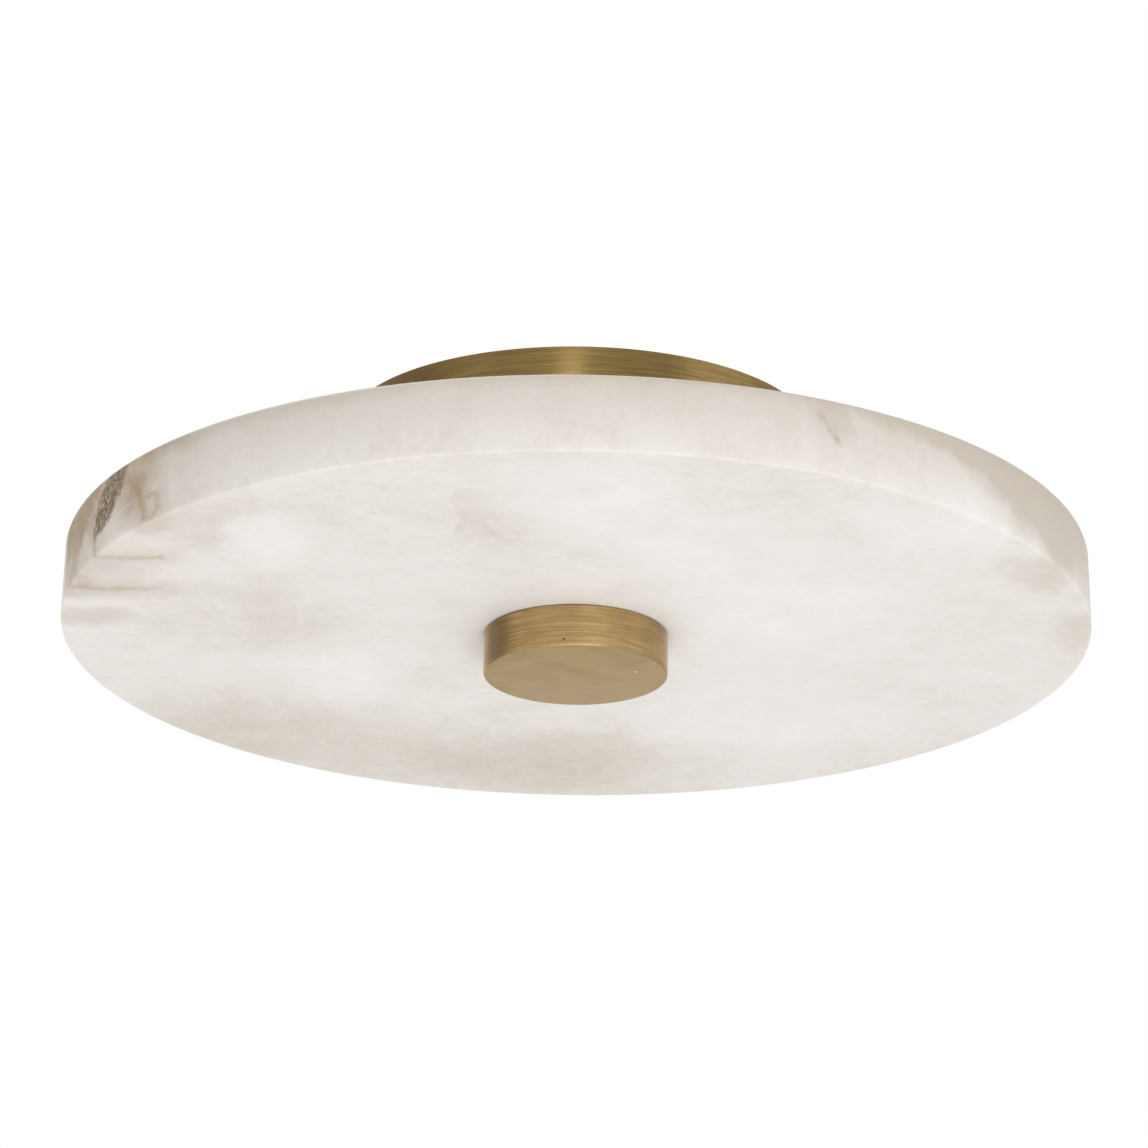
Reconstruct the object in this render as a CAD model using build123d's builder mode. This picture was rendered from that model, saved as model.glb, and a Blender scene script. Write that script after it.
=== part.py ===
from build123d import *
import os
from math import radians, sqrt, tan

# Flush mount ceiling light: a hollowed alabaster disc hung under a spun brass canopy by a turned brass cap.
# The origin is the centre of the ceiling strap's top face, in the ceiling plane. The light hangs down from it.
# All sizes are in millimetres.

# Canopy, a spun brass pan whose open rim meets the ceiling
canopy_diameter = 184.0
canopy_depth = 53.0
canopy_wall = 1.2
canopy_corner_bevel = 3.0

# Alabaster shade, a turned bowl with a flat outside and a raised seat round its centre hole
shade_diameter = 400.0
shade_thickness = 31.0
shade_floor = 11.0
shade_wall = 12.0
shade_rim_taper = 1.0
shade_lower_edge_bevel = 1.0
shade_upper_edge_bevel = 2.5
shade_inner_edge_bevel = 1.0
shade_inner_corner_bevel = 5.0
shade_hole_diameter = 26.0
shade_seat_height = 2.0
shade_seat_margin = 4.0
shade_seat_bevel = 1.0

# Brass cap, a turned drum that screws on to the rod and carries the shade
cap_diameter = 71.5
cap_height = 16.4
cap_floor = 3.2
cap_lip = 1.5
cap_ledge = 4.5
cap_rebate = 1.2
cap_boss_diameter = 22.0
cap_lower_edge_bevel = 0.5
cap_upper_edge_bevel = 0.3
felt_thickness = 1.5
insert_diameter = 14.0
rod_end_clearance = 1.0

# Centre rod, and the stack of washers, nuts and sleeve on it
rod_diameter = 10.0
rod_chamfer = 0.8
rod_inset = 0.25
thread_clearance = 0.06
hole_clearance = 0.25
bush_clearance = 0.3
nut_across_flats = 14.0
nut_height = 4.0
flat_washer_diameter = 20.0
flat_washer_thickness = 1.0
sleeve_wall = 3.0
bearing_washer_diameter = 50.0
bearing_washer_thickness = 2.0
cushion_washer_thickness = 2.0

# Ceiling strap, with a slot at each end for the screws of a ceiling box
strap_thickness = 2.0
strap_width = 22.0
strap_slot_spacing = 80.0
strap_slot_length = 24.0
strap_slot_width = 4.8
strap_end_margin = 6.0
strap_hub_diameter = 30.0

# Light tray, its circuit board and the light-emitting diodes
tray_diameter = 300.0
tray_sheet = 1.5
tray_rim = 8.0
tray_corner_bevel = 2.0
tray_screw_circle_diameter = 54.0
tray_screw_count = 3
tray_screw_angle = 180.0
tray_screw_tip = 2.0
board_outer_diameter = 230.0
board_inner_diameter = 80.0
board_thickness = 1.6
board_screw_inset = 8.0
board_screw_count = 6
board_screw_angle = 30.0
board_screw_tip = 0.5
inner_ring_diameter = 128.0
inner_ring_count = 18
outer_ring_diameter = 188.0
outer_ring_count = 30
diode_length = 3.5
diode_width = 2.8
diode_height = 0.8
connector_length = 10.0
connector_width = 9.0
connector_height = 4.4
connector_inset = 4.0
connector_bevel = 0.5

# Grommet that takes the low-voltage leads through the canopy floor and the tray
grommet_offset = 30.0
grommet_bore = 7.0
grommet_wall = 1.5
grommet_flange_width = 2.0
grommet_flange_thickness = 1.5

# Driver that feeds the diodes, on the canopy floor
driver_length = 76.0
driver_width = 32.0
driver_height = 22.0
driver_wall = 1.5
driver_edge_radius = 2.0
driver_base_thickness = 2.0
driver_setback = 28.0
driver_lug_length = 8.0
driver_lug_width = 12.0
driver_inlet_spacing = 8.0
driver_post_height = 3.0
driver_post_diameter = 4.0
driver_board_margin = 1.0
driver_headroom = 1.0
transformer_length = 16.0
transformer_width = 14.0
capacitor_diameter = 8.0
capacitor_drop = 2.0
capacitor_spacing = 11.0
capacitor_end_inset = 13.5

# Terminal block for the house wires, on the canopy floor
block_length = 34.0
block_width = 18.0
block_height = 15.0
block_shoulder_height = 11.0
block_shoulder_width = 3.0
block_setback = 36.0
block_mount_seat = 5.0
block_mount_clearance = 0.3
pole_pitch = 11.0
pole_count = 3
wire_hole_diameter = 3.2
wire_hole_depth = 5.0
terminal_screw_diameter = 4.0
terminal_screw_length = 4.0
terminal_screw_recess = 1.0
terminal_screw_spacing = 6.4

# Screws, by shank diameter, head diameter and head height
small_screw_diameter = 3.0
small_head_diameter = 5.6
small_head_height = 2.2
large_screw_diameter = 4.0
large_head_diameter = 7.4
large_head_height = 2.6
driver_slot_width = 0.9
driver_slot_depth = 1.2
driver_slot_margin = 1.2

# Canopy bond, a ring terminal under a screw in the canopy floor
bond_x = 40.0
bond_y = -16.0
ring_terminal_diameter = 9.0
ring_terminal_thickness = 0.8
ring_barrel_length = 8.0
ring_barrel_diameter = 3.8

# Leads, over their insulation
mains_lead_diameter = 2.2
low_voltage_lead_diameter = 1.6
lead_height = 7.5
lead_pair_spacing = 2.6
lead_flats = 8
lead_bend_share = 0.45

# Radii and levels that the sizes above give, from the ceiling down
rod_radius = rod_diameter / 2
rod_hole_radius = rod_radius + hole_clearance
small_screw_radius = small_screw_diameter / 2
large_screw_radius = large_screw_diameter / 2

canopy_bottom = -canopy_depth
canopy_floor_top = canopy_bottom + canopy_wall
tray_bottom = canopy_bottom - tray_sheet
board_bottom = tray_bottom - board_thickness
flat_washer_bottom = tray_bottom - flat_washer_thickness
hanging_nut_bottom = flat_washer_bottom - nut_height

shade_top = canopy_bottom
shade_bottom = shade_top - shade_thickness
shade_floor_top = shade_bottom + shade_floor
shade_seat_top = shade_floor_top + shade_seat_height
cushion_washer_top = shade_seat_top + cushion_washer_thickness
bearing_washer_top = cushion_washer_top + bearing_washer_thickness

cap_top = shade_bottom - (felt_thickness - cap_rebate)
cap_bottom = cap_top - cap_height
cap_ledge_top = cap_top - cap_rebate
cap_floor_top = cap_bottom + cap_floor
felt_radius = cap_diameter / 2 - cap_lip
cap_pocket_radius = felt_radius - cap_ledge
insert_length = cap_ledge_top - cap_floor_top
thread_engagement = insert_length - rod_end_clearance
rod_bottom = cap_ledge_top - thread_engagement

lead_level = canopy_floor_top + lead_height
driver_y = driver_setback + driver_width / 2
driver_base_top = canopy_floor_top + driver_base_thickness
driver_top = canopy_floor_top + driver_height
driver_board_bottom = driver_base_top + driver_post_height
driver_board_top = driver_board_bottom + board_thickness
transformer_top = driver_top - driver_wall - driver_headroom
block_y = -block_setback - block_width / 2
block_top = canopy_floor_top + block_height

# Places of the screws, in plan
board_screw_radius = board_outer_diameter / 2 - board_screw_inset
driver_lug_x = (driver_length + driver_lug_length) / 2
driver_screw_places = [(-driver_lug_x, driver_y), (driver_lug_x, driver_y)]
block_screw_places = [(-pole_pitch / 2, block_y), (pole_pitch / 2, block_y)]
ground_screw_x = (rod_radius + (strap_slot_spacing - strap_slot_length) / 2) / 2


def hex_nut(top):
    """A thin hexagon nut on the rod, hanging down from the level top."""
    with BuildPart() as nut:
        with BuildSketch(Plane.XY.offset(top)):
            RegularPolygon(radius=nut_across_flats / 2, side_count=6, major_radius=False)
            Circle(rod_radius, mode=Mode.SUBTRACT)
        extrude(amount=-nut_height)
    return nut.part


def washer(bottom, thickness, outer_radius, inner_radius):
    """A plain ring about the rod."""
    with BuildPart() as ring:
        with BuildSketch(Plane.XY.offset(bottom)):
            Circle(outer_radius)
            Circle(inner_radius, mode=Mode.SUBTRACT)
        extrude(amount=thickness)
    return ring.part


def turned_body(outline, bevels):
    """A turned solid from its half section: outline as (radius, level) points, and bevels as (point, length)."""
    with BuildPart() as body:
        with BuildSketch(Plane.XZ) as half_section:
            with BuildLine():
                Polyline(*outline, close=True)
            make_face()
            for corner, length in bevels:
                chamfer(half_section.vertices().sort_by_distance(corner)[0], length=length)
        revolve(axis=Axis.Z)
    return body.part


def spun_pan(outer_radius, closed_level, rim_level, sheet, corner_bevel):
    """A dish spun from sheet, from the outside of its closed face to its rim, as thick round its bevelled corner."""
    inner_level = closed_level + (sheet if rim_level > closed_level else -sheet)
    inner_radius = outer_radius - sheet
    outer_corner = (outer_radius, closed_level)
    inner_corner = (inner_radius, inner_level)
    outline = [
        (0, closed_level),
        outer_corner,
        (outer_radius, rim_level),
        (inner_radius, rim_level),
        inner_corner,
        (0, inner_level),
    ]
    bevels = [(outer_corner, corner_bevel), (inner_corner, corner_bevel - (2 - sqrt(2)) * sheet)]
    return turned_body(outline, bevels)


def pan_screw(shank_diameter, head_diameter, head_height, length):
    """A slotted screw with the underside of its head on the XY plane and its shank down."""
    with BuildPart() as screw:
        with BuildSketch(Plane.XY):
            Circle(head_diameter / 2)
        extrude(amount=head_height)
        with BuildSketch(Plane.XY):
            Circle(shank_diameter / 2)
        extrude(amount=-length)
        with BuildSketch(Plane.XY.offset(head_height)):
            Rectangle(head_diameter - driver_slot_margin, driver_slot_width)
        extrude(amount=-driver_slot_depth, mode=Mode.SUBTRACT)
    return screw.part


def small_screw(length):
    return pan_screw(small_screw_diameter, small_head_diameter, small_head_height, length)


def large_screw(length):
    return pan_screw(large_screw_diameter, large_head_diameter, large_head_height, length)


def bend_radii(points):
    """The radius of the arc at each inner point of a lead, which takes up its share of the shorter run."""
    radii = []
    for before, corner, after in zip(points, points[1:], points[2:]):
        run_in = Vector(*corner) - Vector(*before)
        run_out = Vector(*after) - Vector(*corner)
        half_turn = radians(run_in.get_angle(run_out) / 2)
        radii.append(lead_bend_share * min(run_in.length, run_out.length) / tan(half_turn))
    return radii


def insulated_lead(name, points, diameter):
    """One lead, a tube of eight flats swept along straight runs joined by tangent arcs."""
    radii = bend_radii(points)
    print(name, "radii", [round(radius, 1) for radius in radii])
    with BuildPart() as lead:
        with BuildLine() as route:
            FilletPolyline(*points, radius=radii)
        with BuildSketch(Plane(origin=route.line @ 0, z_dir=route.line % 0)):
            RegularPolygon(radius=diameter / 2, side_count=lead_flats)
        sweep()
    print(name, "length", round(sum(edge.length for edge in route.edges()), 1))
    return lead.part


os.makedirs("parts", exist_ok=True)

# Ceiling strap
with BuildPart() as ceiling_strap:
    with BuildSketch(Plane.XY):
        SlotOverall(strap_slot_spacing + strap_slot_length + 2 * strap_end_margin, strap_width)
        Circle(strap_hub_diameter / 2)
        Circle(rod_radius, mode=Mode.SUBTRACT)
        with Locations((ground_screw_x, 0)):
            Circle(large_screw_radius, mode=Mode.SUBTRACT)
        with GridLocations(strap_slot_spacing, 0, 2, 1):
            SlotOverall(strap_slot_length, strap_slot_width, mode=Mode.SUBTRACT)
    extrude(amount=-strap_thickness)
ceiling_strap.part.label = "ceiling_strap"
export_step(ceiling_strap.part, "parts/ceiling_strap.step")

# Ground screw for the house earth, driven up into the strap
with BuildPart(Plane.XY.offset(-strap_thickness)) as ground_screw:
    with Locations((ground_screw_x, 0)):
        add(large_screw(strap_thickness - rod_inset), rotation=(180, 0, 0))
ground_screw.part.label = "ground_screw"
export_step(ground_screw.part, "parts/ground_screw.step")

# Centre rod, from the strap down into the cap
with BuildPart() as threaded_rod:
    with BuildSketch(Plane.XY.offset(rod_bottom)):
        Circle(rod_radius)
    extrude(amount=-rod_inset - rod_bottom)
    chamfer(threaded_rod.edges().filter_by(GeomType.CIRCLE), length=rod_chamfer)
threaded_rod.part.label = "threaded_rod"
export_step(threaded_rod.part, "parts/threaded_rod.step")

# Lock nut under the strap
strap_lock_nut = hex_nut(-strap_thickness)
strap_lock_nut.label = "strap_lock_nut"
export_step(strap_lock_nut, "parts/strap_lock_nut.step")

# Canopy, spun as an open pan and then pierced
with BuildPart() as canopy:
    add(spun_pan(canopy_diameter / 2, canopy_bottom, 0, canopy_wall, canopy_corner_bevel))
    with BuildSketch(Plane.XY.offset(canopy_bottom)):
        Circle(rod_hole_radius)
        with Locations((grommet_offset, 0)):
            Circle(grommet_bore / 2 + grommet_wall)
        with Locations((bond_x, bond_y)):
            Circle(large_screw_radius)
        with PolarLocations(tray_screw_circle_diameter / 2, tray_screw_count, start_angle=tray_screw_angle):
            Circle(large_screw_radius)
        with Locations(*driver_screw_places, *block_screw_places):
            Circle(small_screw_radius)
    extrude(amount=canopy_wall, mode=Mode.SUBTRACT)
canopy.part.label = "canopy"
export_step(canopy.part, "parts/canopy.step")

# Base plate of the driver, with a lug at each end and a post under each corner of its circuit board
driver_board_length = driver_length - 2 * (driver_wall + driver_board_margin)
driver_board_width = driver_width - 2 * (driver_wall + driver_board_margin)
with BuildPart() as driver_base:
    with BuildSketch(Plane.XY.offset(canopy_floor_top)):
        with Locations((0, driver_y)):
            Rectangle(driver_length, driver_width)
            SlotOverall(driver_length + 2 * driver_lug_length, driver_lug_width)
        with Locations(*driver_screw_places):
            Circle(small_screw_radius, mode=Mode.SUBTRACT)
    extrude(amount=driver_base_thickness)
    with BuildSketch(Plane.XY.offset(driver_base_top)):
        with Locations((0, driver_y)):
            with GridLocations(
                driver_board_length - driver_post_diameter, driver_board_width - driver_post_diameter, 2, 2
            ):
                Circle(driver_post_diameter / 2)
    extrude(amount=driver_post_height)
driver_base.part.label = "driver_base"
export_step(driver_base.part, "parts/driver_base.step")

# Cover of the driver, a moulded shell open below
with BuildPart() as driver_cover:
    with BuildSketch(Plane.XY.offset(driver_base_top)):
        with Locations((0, driver_y)):
            Rectangle(driver_length, driver_width)
    extrude(amount=driver_height - driver_base_thickness)
    fillet(driver_cover.edges().filter_by(Axis.Z), radius=driver_edge_radius)
    fillet(driver_cover.edges().group_by(Axis.Z)[-1], radius=driver_edge_radius)
    offset(amount=-driver_wall, openings=driver_cover.faces().sort_by(Axis.Z)[0])
driver_cover.part.label = "driver_cover"
export_step(driver_cover.part, "parts/driver_cover.step")

# Circuit board of the driver, with its transformer and capacitors
with BuildPart() as driver_board:
    with BuildSketch(Plane.XY.offset(driver_board_bottom)):
        with Locations((0, driver_y)):
            Rectangle(driver_board_length, driver_board_width)
    extrude(amount=board_thickness)
driver_board.part.label = "driver_board"
export_step(driver_board.part, "parts/driver_board.step")

with BuildPart() as driver_transformer:
    with BuildSketch(Plane.XY.offset(driver_board_top)):
        with Locations((-transformer_length / 2, driver_y)):
            Rectangle(transformer_length, transformer_width)
    extrude(amount=transformer_top - driver_board_top)
driver_transformer.part.label = "driver_transformer"
export_step(driver_transformer.part, "parts/driver_transformer.step")

outer_capacitor_x = driver_board_length / 2 - capacitor_end_inset
with BuildPart() as driver_capacitors:
    with BuildSketch(Plane.XY.offset(driver_board_top)):
        with Locations((outer_capacitor_x - capacitor_spacing, driver_y), (outer_capacitor_x, driver_y)):
            Circle(capacitor_diameter / 2)
    extrude(amount=transformer_top - capacitor_drop - driver_board_top)
driver_capacitors.part.label = "driver_capacitors"
export_step(driver_capacitors.part, "parts/driver_capacitors.step")

# Screws that hold the driver down
with BuildPart(Plane.XY.offset(driver_base_top)) as driver_screws:
    with Locations(*driver_screw_places):
        add(small_screw(driver_base_thickness + canopy_wall))
driver_screws.part.label = "driver_screws"
export_step(driver_screws.part, "parts/driver_screws.step")

# Terminal block, with a blind wire hole on each side of each pole
with BuildPart() as terminal_block:
    with BuildSketch(Plane.XY.offset(canopy_floor_top)):
        with Locations((0, block_y)):
            Rectangle(block_length, block_width)
    extrude(amount=block_shoulder_height)
    with BuildSketch(Plane.XY.offset(canopy_floor_top + block_shoulder_height)):
        with Locations((0, block_y)):
            Rectangle(block_length, block_width - 2 * block_shoulder_width)
    extrude(amount=block_height - block_shoulder_height)
    for side in (-1, 1):
        face_y = block_y + side * block_width / 2
        with BuildSketch(Plane(origin=(0, face_y, lead_level), x_dir=(1, 0, 0), z_dir=(0, side, 0))):
            with GridLocations(pole_pitch, 0, pole_count, 1):
                Circle(wire_hole_diameter / 2)
        extrude(amount=-wire_hole_depth, mode=Mode.SUBTRACT)
    with BuildSketch(Plane.XY.offset(block_top)):
        with Locations((0, block_y)):
            with GridLocations(pole_pitch, terminal_screw_spacing, pole_count, 2):
                Circle(terminal_screw_diameter / 2)
    extrude(amount=-terminal_screw_recess - terminal_screw_length, mode=Mode.SUBTRACT)
    with BuildSketch(Plane.XY.offset(canopy_floor_top + block_mount_seat)):
        with Locations(*block_screw_places):
            Circle(small_head_diameter / 2 + block_mount_clearance)
    extrude(amount=block_height - block_mount_seat, mode=Mode.SUBTRACT)
    with BuildSketch(Plane.XY.offset(canopy_floor_top)):
        with Locations(*block_screw_places):
            Circle(small_screw_radius)
    extrude(amount=block_mount_seat, mode=Mode.SUBTRACT)
terminal_block.part.label = "terminal_block"
export_step(terminal_block.part, "parts/terminal_block.step")

# Slotted clamp screws of the terminals
with BuildPart() as terminal_screws:
    with BuildSketch(Plane.XY.offset(block_top - terminal_screw_recess)):
        with Locations((0, block_y)):
            with GridLocations(pole_pitch, terminal_screw_spacing, pole_count, 2):
                Circle(terminal_screw_diameter / 2)
    extrude(amount=-terminal_screw_length)
    with BuildSketch(Plane.XY.offset(block_top - terminal_screw_recess)):
        with Locations((0, block_y)):
            with GridLocations(pole_pitch, terminal_screw_spacing, pole_count, 2):
                Rectangle(terminal_screw_diameter, driver_slot_width)
    extrude(amount=-driver_slot_depth, mode=Mode.SUBTRACT)
terminal_screws.part.label = "terminal_screws"
export_step(terminal_screws.part, "parts/terminal_screws.step")

# Screws that hold the terminal block down
with BuildPart(Plane.XY.offset(canopy_floor_top + block_mount_seat)) as block_screws:
    with Locations(*block_screw_places):
        add(small_screw(block_mount_seat + canopy_wall))
block_screws.part.label = "block_screws"
export_step(block_screws.part, "parts/block_screws.step")

# Ring terminal on the canopy floor, with its barrel towards the terminal block
ring_radius = ring_terminal_diameter / 2
barrel_mouth_x = bond_x - ring_radius - ring_barrel_length
barrel_level = canopy_floor_top + ring_barrel_diameter / 2
with BuildPart() as bond_ring_terminal:
    with BuildSketch(Plane.XY.offset(canopy_floor_top)):
        with Locations((bond_x, bond_y)):
            Circle(ring_radius)
        with Locations((bond_x - ring_radius, bond_y)):
            Rectangle(ring_barrel_length, ring_barrel_diameter)
        with Locations((bond_x, bond_y)):
            Circle(large_screw_radius, mode=Mode.SUBTRACT)
    extrude(amount=ring_terminal_thickness)
    with BuildSketch(Plane(origin=(barrel_mouth_x, bond_y, barrel_level), z_dir=(1, 0, 0))):
        Circle(ring_barrel_diameter / 2)
    extrude(amount=ring_barrel_length)
bond_ring_terminal.part.label = "bond_ring_terminal"
export_step(bond_ring_terminal.part, "parts/bond_ring_terminal.step")

with BuildPart(Plane.XY.offset(canopy_floor_top + ring_terminal_thickness)) as bond_screw:
    with Locations((bond_x, bond_y)):
        add(large_screw(ring_terminal_thickness + canopy_wall))
bond_screw.part.label = "bond_screw"
export_step(bond_screw.part, "parts/bond_screw.step")

# Grommet through the canopy floor and the tray
grommet_bore_radius = grommet_bore / 2
grommet_groove_radius = grommet_bore_radius + grommet_wall
grommet_flange_radius = grommet_groove_radius + grommet_flange_width
with BuildPart() as lead_grommet:
    with BuildSketch(Plane.XY.offset(tray_bottom - grommet_flange_thickness)):
        with Locations((grommet_offset, 0)):
            Circle(grommet_flange_radius)
    extrude(amount=grommet_flange_thickness)
    with BuildSketch(Plane.XY.offset(tray_bottom)):
        with Locations((grommet_offset, 0)):
            Circle(grommet_groove_radius)
    extrude(amount=tray_sheet + canopy_wall)
    with BuildSketch(Plane.XY.offset(canopy_floor_top)):
        with Locations((grommet_offset, 0)):
            Circle(grommet_flange_radius)
    extrude(amount=grommet_flange_thickness)
    with Locations((grommet_offset, 0, canopy_floor_top)):
        Hole(radius=grommet_bore_radius)
lead_grommet.part.label = "lead_grommet"
export_step(lead_grommet.part, "parts/lead_grommet.step")

# Leads from the terminal block: line and neutral to the driver, bond to the canopy
lead_start_y = block_y + block_width / 2 - wire_hole_depth
driver_face_x = driver_length / 2
near_inlet_y = driver_y - driver_inlet_spacing / 2
far_inlet_y = driver_y + driver_inlet_spacing / 2
line_lead = insulated_lead(
    "line_lead",
    [
        (-pole_pitch, lead_start_y, lead_level),
        (-pole_pitch, -25, lead_level),
        (-50, -9, lead_level + 4),
        (-62, 30, lead_level + 3),
        (-52, far_inlet_y, lead_level),
        (-driver_face_x, far_inlet_y, lead_level),
    ],
    mains_lead_diameter,
)
line_lead.label = "line_lead"
export_step(line_lead, "parts/line_lead.step")

neutral_lead = insulated_lead(
    "neutral_lead",
    [
        (0, lead_start_y, lead_level),
        (0, -20, lead_level),
        (-38, -3, lead_level + 5),
        (-52, 25, lead_level + 4),
        (-46, near_inlet_y, lead_level),
        (-driver_face_x, near_inlet_y, lead_level),
    ],
    mains_lead_diameter,
)
neutral_lead.label = "neutral_lead"
export_step(neutral_lead, "parts/neutral_lead.step")

bond_lead = insulated_lead(
    "bond_lead",
    [
        (pole_pitch, lead_start_y, lead_level),
        (pole_pitch, -25, lead_level),
        (15, -18, barrel_level + 3),
        (21, bond_y, barrel_level),
        (barrel_mouth_x, bond_y, barrel_level),
    ],
    mains_lead_diameter,
)
bond_lead.label = "bond_lead"
export_step(bond_lead, "parts/bond_lead.step")

# Light tray, a spun dish with its rim turned down
with BuildPart() as light_tray:
    add(spun_pan(tray_diameter / 2, canopy_bottom, canopy_bottom - tray_rim, tray_sheet, tray_corner_bevel))
    with BuildSketch(Plane.XY.offset(canopy_bottom)):
        Circle(rod_hole_radius)
        with Locations((grommet_offset, 0)):
            Circle(grommet_groove_radius)
        with PolarLocations(tray_screw_circle_diameter / 2, tray_screw_count, start_angle=tray_screw_angle):
            Circle(large_screw_radius)
        with PolarLocations(board_screw_radius, board_screw_count, start_angle=board_screw_angle):
            Circle(small_screw_radius)
    extrude(amount=-tray_sheet, mode=Mode.SUBTRACT)
light_tray.part.label = "light_tray"
export_step(light_tray.part, "parts/light_tray.step")

# Screws that hold the tray to the canopy floor, driven up
with BuildPart(Plane.XY.offset(tray_bottom)) as tray_screws:
    with PolarLocations(tray_screw_circle_diameter / 2, tray_screw_count, start_angle=tray_screw_angle):
        add(large_screw(tray_sheet + canopy_wall + tray_screw_tip), rotation=(180, 0, 0))
tray_screws.part.label = "tray_screws"
export_step(tray_screws.part, "parts/tray_screws.step")

# Ring-shaped circuit board under the tray
with BuildPart() as light_board:
    with BuildSketch(Plane.XY.offset(tray_bottom)):
        Circle(board_outer_diameter / 2)
        Circle(board_inner_diameter / 2, mode=Mode.SUBTRACT)
        with PolarLocations(board_screw_radius, board_screw_count, start_angle=board_screw_angle):
            Circle(small_screw_radius, mode=Mode.SUBTRACT)
    extrude(amount=-board_thickness)
light_board.part.label = "light_board"
export_step(light_board.part, "parts/light_board.step")

with BuildPart(Plane.XY.offset(board_bottom)) as board_screws:
    with PolarLocations(board_screw_radius, board_screw_count, start_angle=board_screw_angle):
        add(small_screw(board_thickness + tray_sheet + board_screw_tip), rotation=(180, 0, 0))
board_screws.part.label = "board_screws"
export_step(board_screws.part, "parts/board_screws.step")

# Light-emitting diodes, in two rings that face down, with each board screw's line midway between two of them
with BuildPart() as diodes:
    with BuildSketch(Plane.XY.offset(board_bottom)):
        for ring_diameter, count in ((inner_ring_diameter, inner_ring_count), (outer_ring_diameter, outer_ring_count)):
            with PolarLocations(ring_diameter / 2, count, start_angle=board_screw_angle + 180 / count):
                Rectangle(diode_length, diode_width)
    extrude(amount=-diode_height)
diodes.part.label = "diodes"
export_step(diodes.part, "parts/diodes.step")

# Lead connector on the board, beside the grommet
connector_face_x = board_inner_diameter / 2 + connector_inset
with BuildPart() as board_connector:
    with BuildSketch(Plane.XY.offset(board_bottom)):
        with Locations((connector_face_x + connector_length / 2, 0)):
            Rectangle(connector_length, connector_width)
    extrude(amount=-connector_height)
    chamfer(board_connector.edges().group_by(Axis.Z)[0], length=connector_bevel)
board_connector.part.label = "board_connector"
export_step(board_connector.part, "parts/board_connector.step")

# Leads from the driver, out of its far end, round and down through the grommet to the connector
connector_level = board_bottom - connector_height / 2
lead_side = lead_pair_spacing / 2
low_voltage_lead_1 = insulated_lead(
    "low_voltage_lead_1",
    [
        (driver_face_x, far_inlet_y, lead_level),
        (52, far_inlet_y, lead_level),
        (63, 25, lead_level + 3),
        (54, -lead_side, lead_level),
        (grommet_offset, -lead_side, lead_level),
        (grommet_offset, -lead_side, connector_level),
        (connector_face_x, -lead_side, connector_level),
    ],
    low_voltage_lead_diameter,
)
low_voltage_lead_1.label = "low_voltage_lead_1"
export_step(low_voltage_lead_1, "parts/low_voltage_lead_1.step")

low_voltage_lead_2 = insulated_lead(
    "low_voltage_lead_2",
    [
        (driver_face_x, near_inlet_y, lead_level),
        (48, near_inlet_y, lead_level),
        (56, 21, lead_level + 3),
        (47, lead_side, lead_level),
        (grommet_offset, lead_side, lead_level),
        (grommet_offset, lead_side, connector_level),
        (connector_face_x, lead_side, connector_level),
    ],
    low_voltage_lead_diameter,
)
low_voltage_lead_2.label = "low_voltage_lead_2"
export_step(low_voltage_lead_2, "parts/low_voltage_lead_2.step")

# Washer and nut under the tray, which hold the tray and canopy up
tray_washer = washer(flat_washer_bottom, flat_washer_thickness, flat_washer_diameter / 2, rod_hole_radius)
tray_washer.label = "tray_washer"
export_step(tray_washer, "parts/tray_washer.step")

tray_nut = hex_nut(flat_washer_bottom)
tray_nut.label = "tray_nut"
export_step(tray_nut, "parts/tray_nut.step")

# Sleeve and bearing washer that the shade is drawn up against
sleeve_length = hanging_nut_bottom - bearing_washer_top
spacer_sleeve = washer(bearing_washer_top, sleeve_length, rod_hole_radius + sleeve_wall, rod_hole_radius)
spacer_sleeve.label = "spacer_sleeve"
export_step(spacer_sleeve, "parts/spacer_sleeve.step")

bearing_washer_radius = bearing_washer_diameter / 2
bearing_washer = washer(cushion_washer_top, bearing_washer_thickness, bearing_washer_radius, rod_hole_radius)
bearing_washer.label = "bearing_washer"
export_step(bearing_washer, "parts/bearing_washer.step")

# Rubber washer on the shade's seat, and rubber bush in its hole
bush_bore_radius = rod_radius + bush_clearance
cushion_washer = washer(shade_seat_top, cushion_washer_thickness, bearing_washer_radius, bush_bore_radius)
cushion_washer.label = "cushion_washer"
export_step(cushion_washer, "parts/cushion_washer.step")

shade_bush = washer(shade_bottom, shade_seat_top - shade_bottom, shade_hole_diameter / 2, bush_bore_radius)
shade_bush.label = "shade_bush"
export_step(shade_bush, "parts/shade_bush.step")

# Alabaster shade, turned from one half section
shade_seat_radius = bearing_washer_radius + shade_seat_margin
shade_rim_radius = shade_diameter / 2 - shade_rim_taper
shade_inner_radius = shade_rim_radius - shade_wall
shade_hole_radius = shade_hole_diameter / 2
shade_lower_edge = (shade_diameter / 2, shade_bottom)
shade_upper_edge = (shade_rim_radius, shade_top)
shade_inner_edge = (shade_inner_radius, shade_top)
shade_inner_corner = (shade_inner_radius, shade_floor_top)
shade_seat_foot = (shade_seat_radius, shade_floor_top)
alabaster_shade = turned_body(
    [
        (shade_hole_radius, shade_bottom),
        shade_lower_edge,
        shade_upper_edge,
        shade_inner_edge,
        shade_inner_corner,
        shade_seat_foot,
        (shade_seat_radius, shade_seat_top),
        (shade_hole_radius, shade_seat_top),
    ],
    [
        (shade_lower_edge, shade_lower_edge_bevel),
        (shade_upper_edge, shade_upper_edge_bevel),
        (shade_inner_edge, shade_inner_edge_bevel),
        (shade_inner_corner, shade_inner_corner_bevel),
        (shade_seat_foot, shade_seat_bevel),
    ],
)
alabaster_shade.label = "alabaster_shade"
export_step(alabaster_shade, "parts/alabaster_shade.step")

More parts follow.
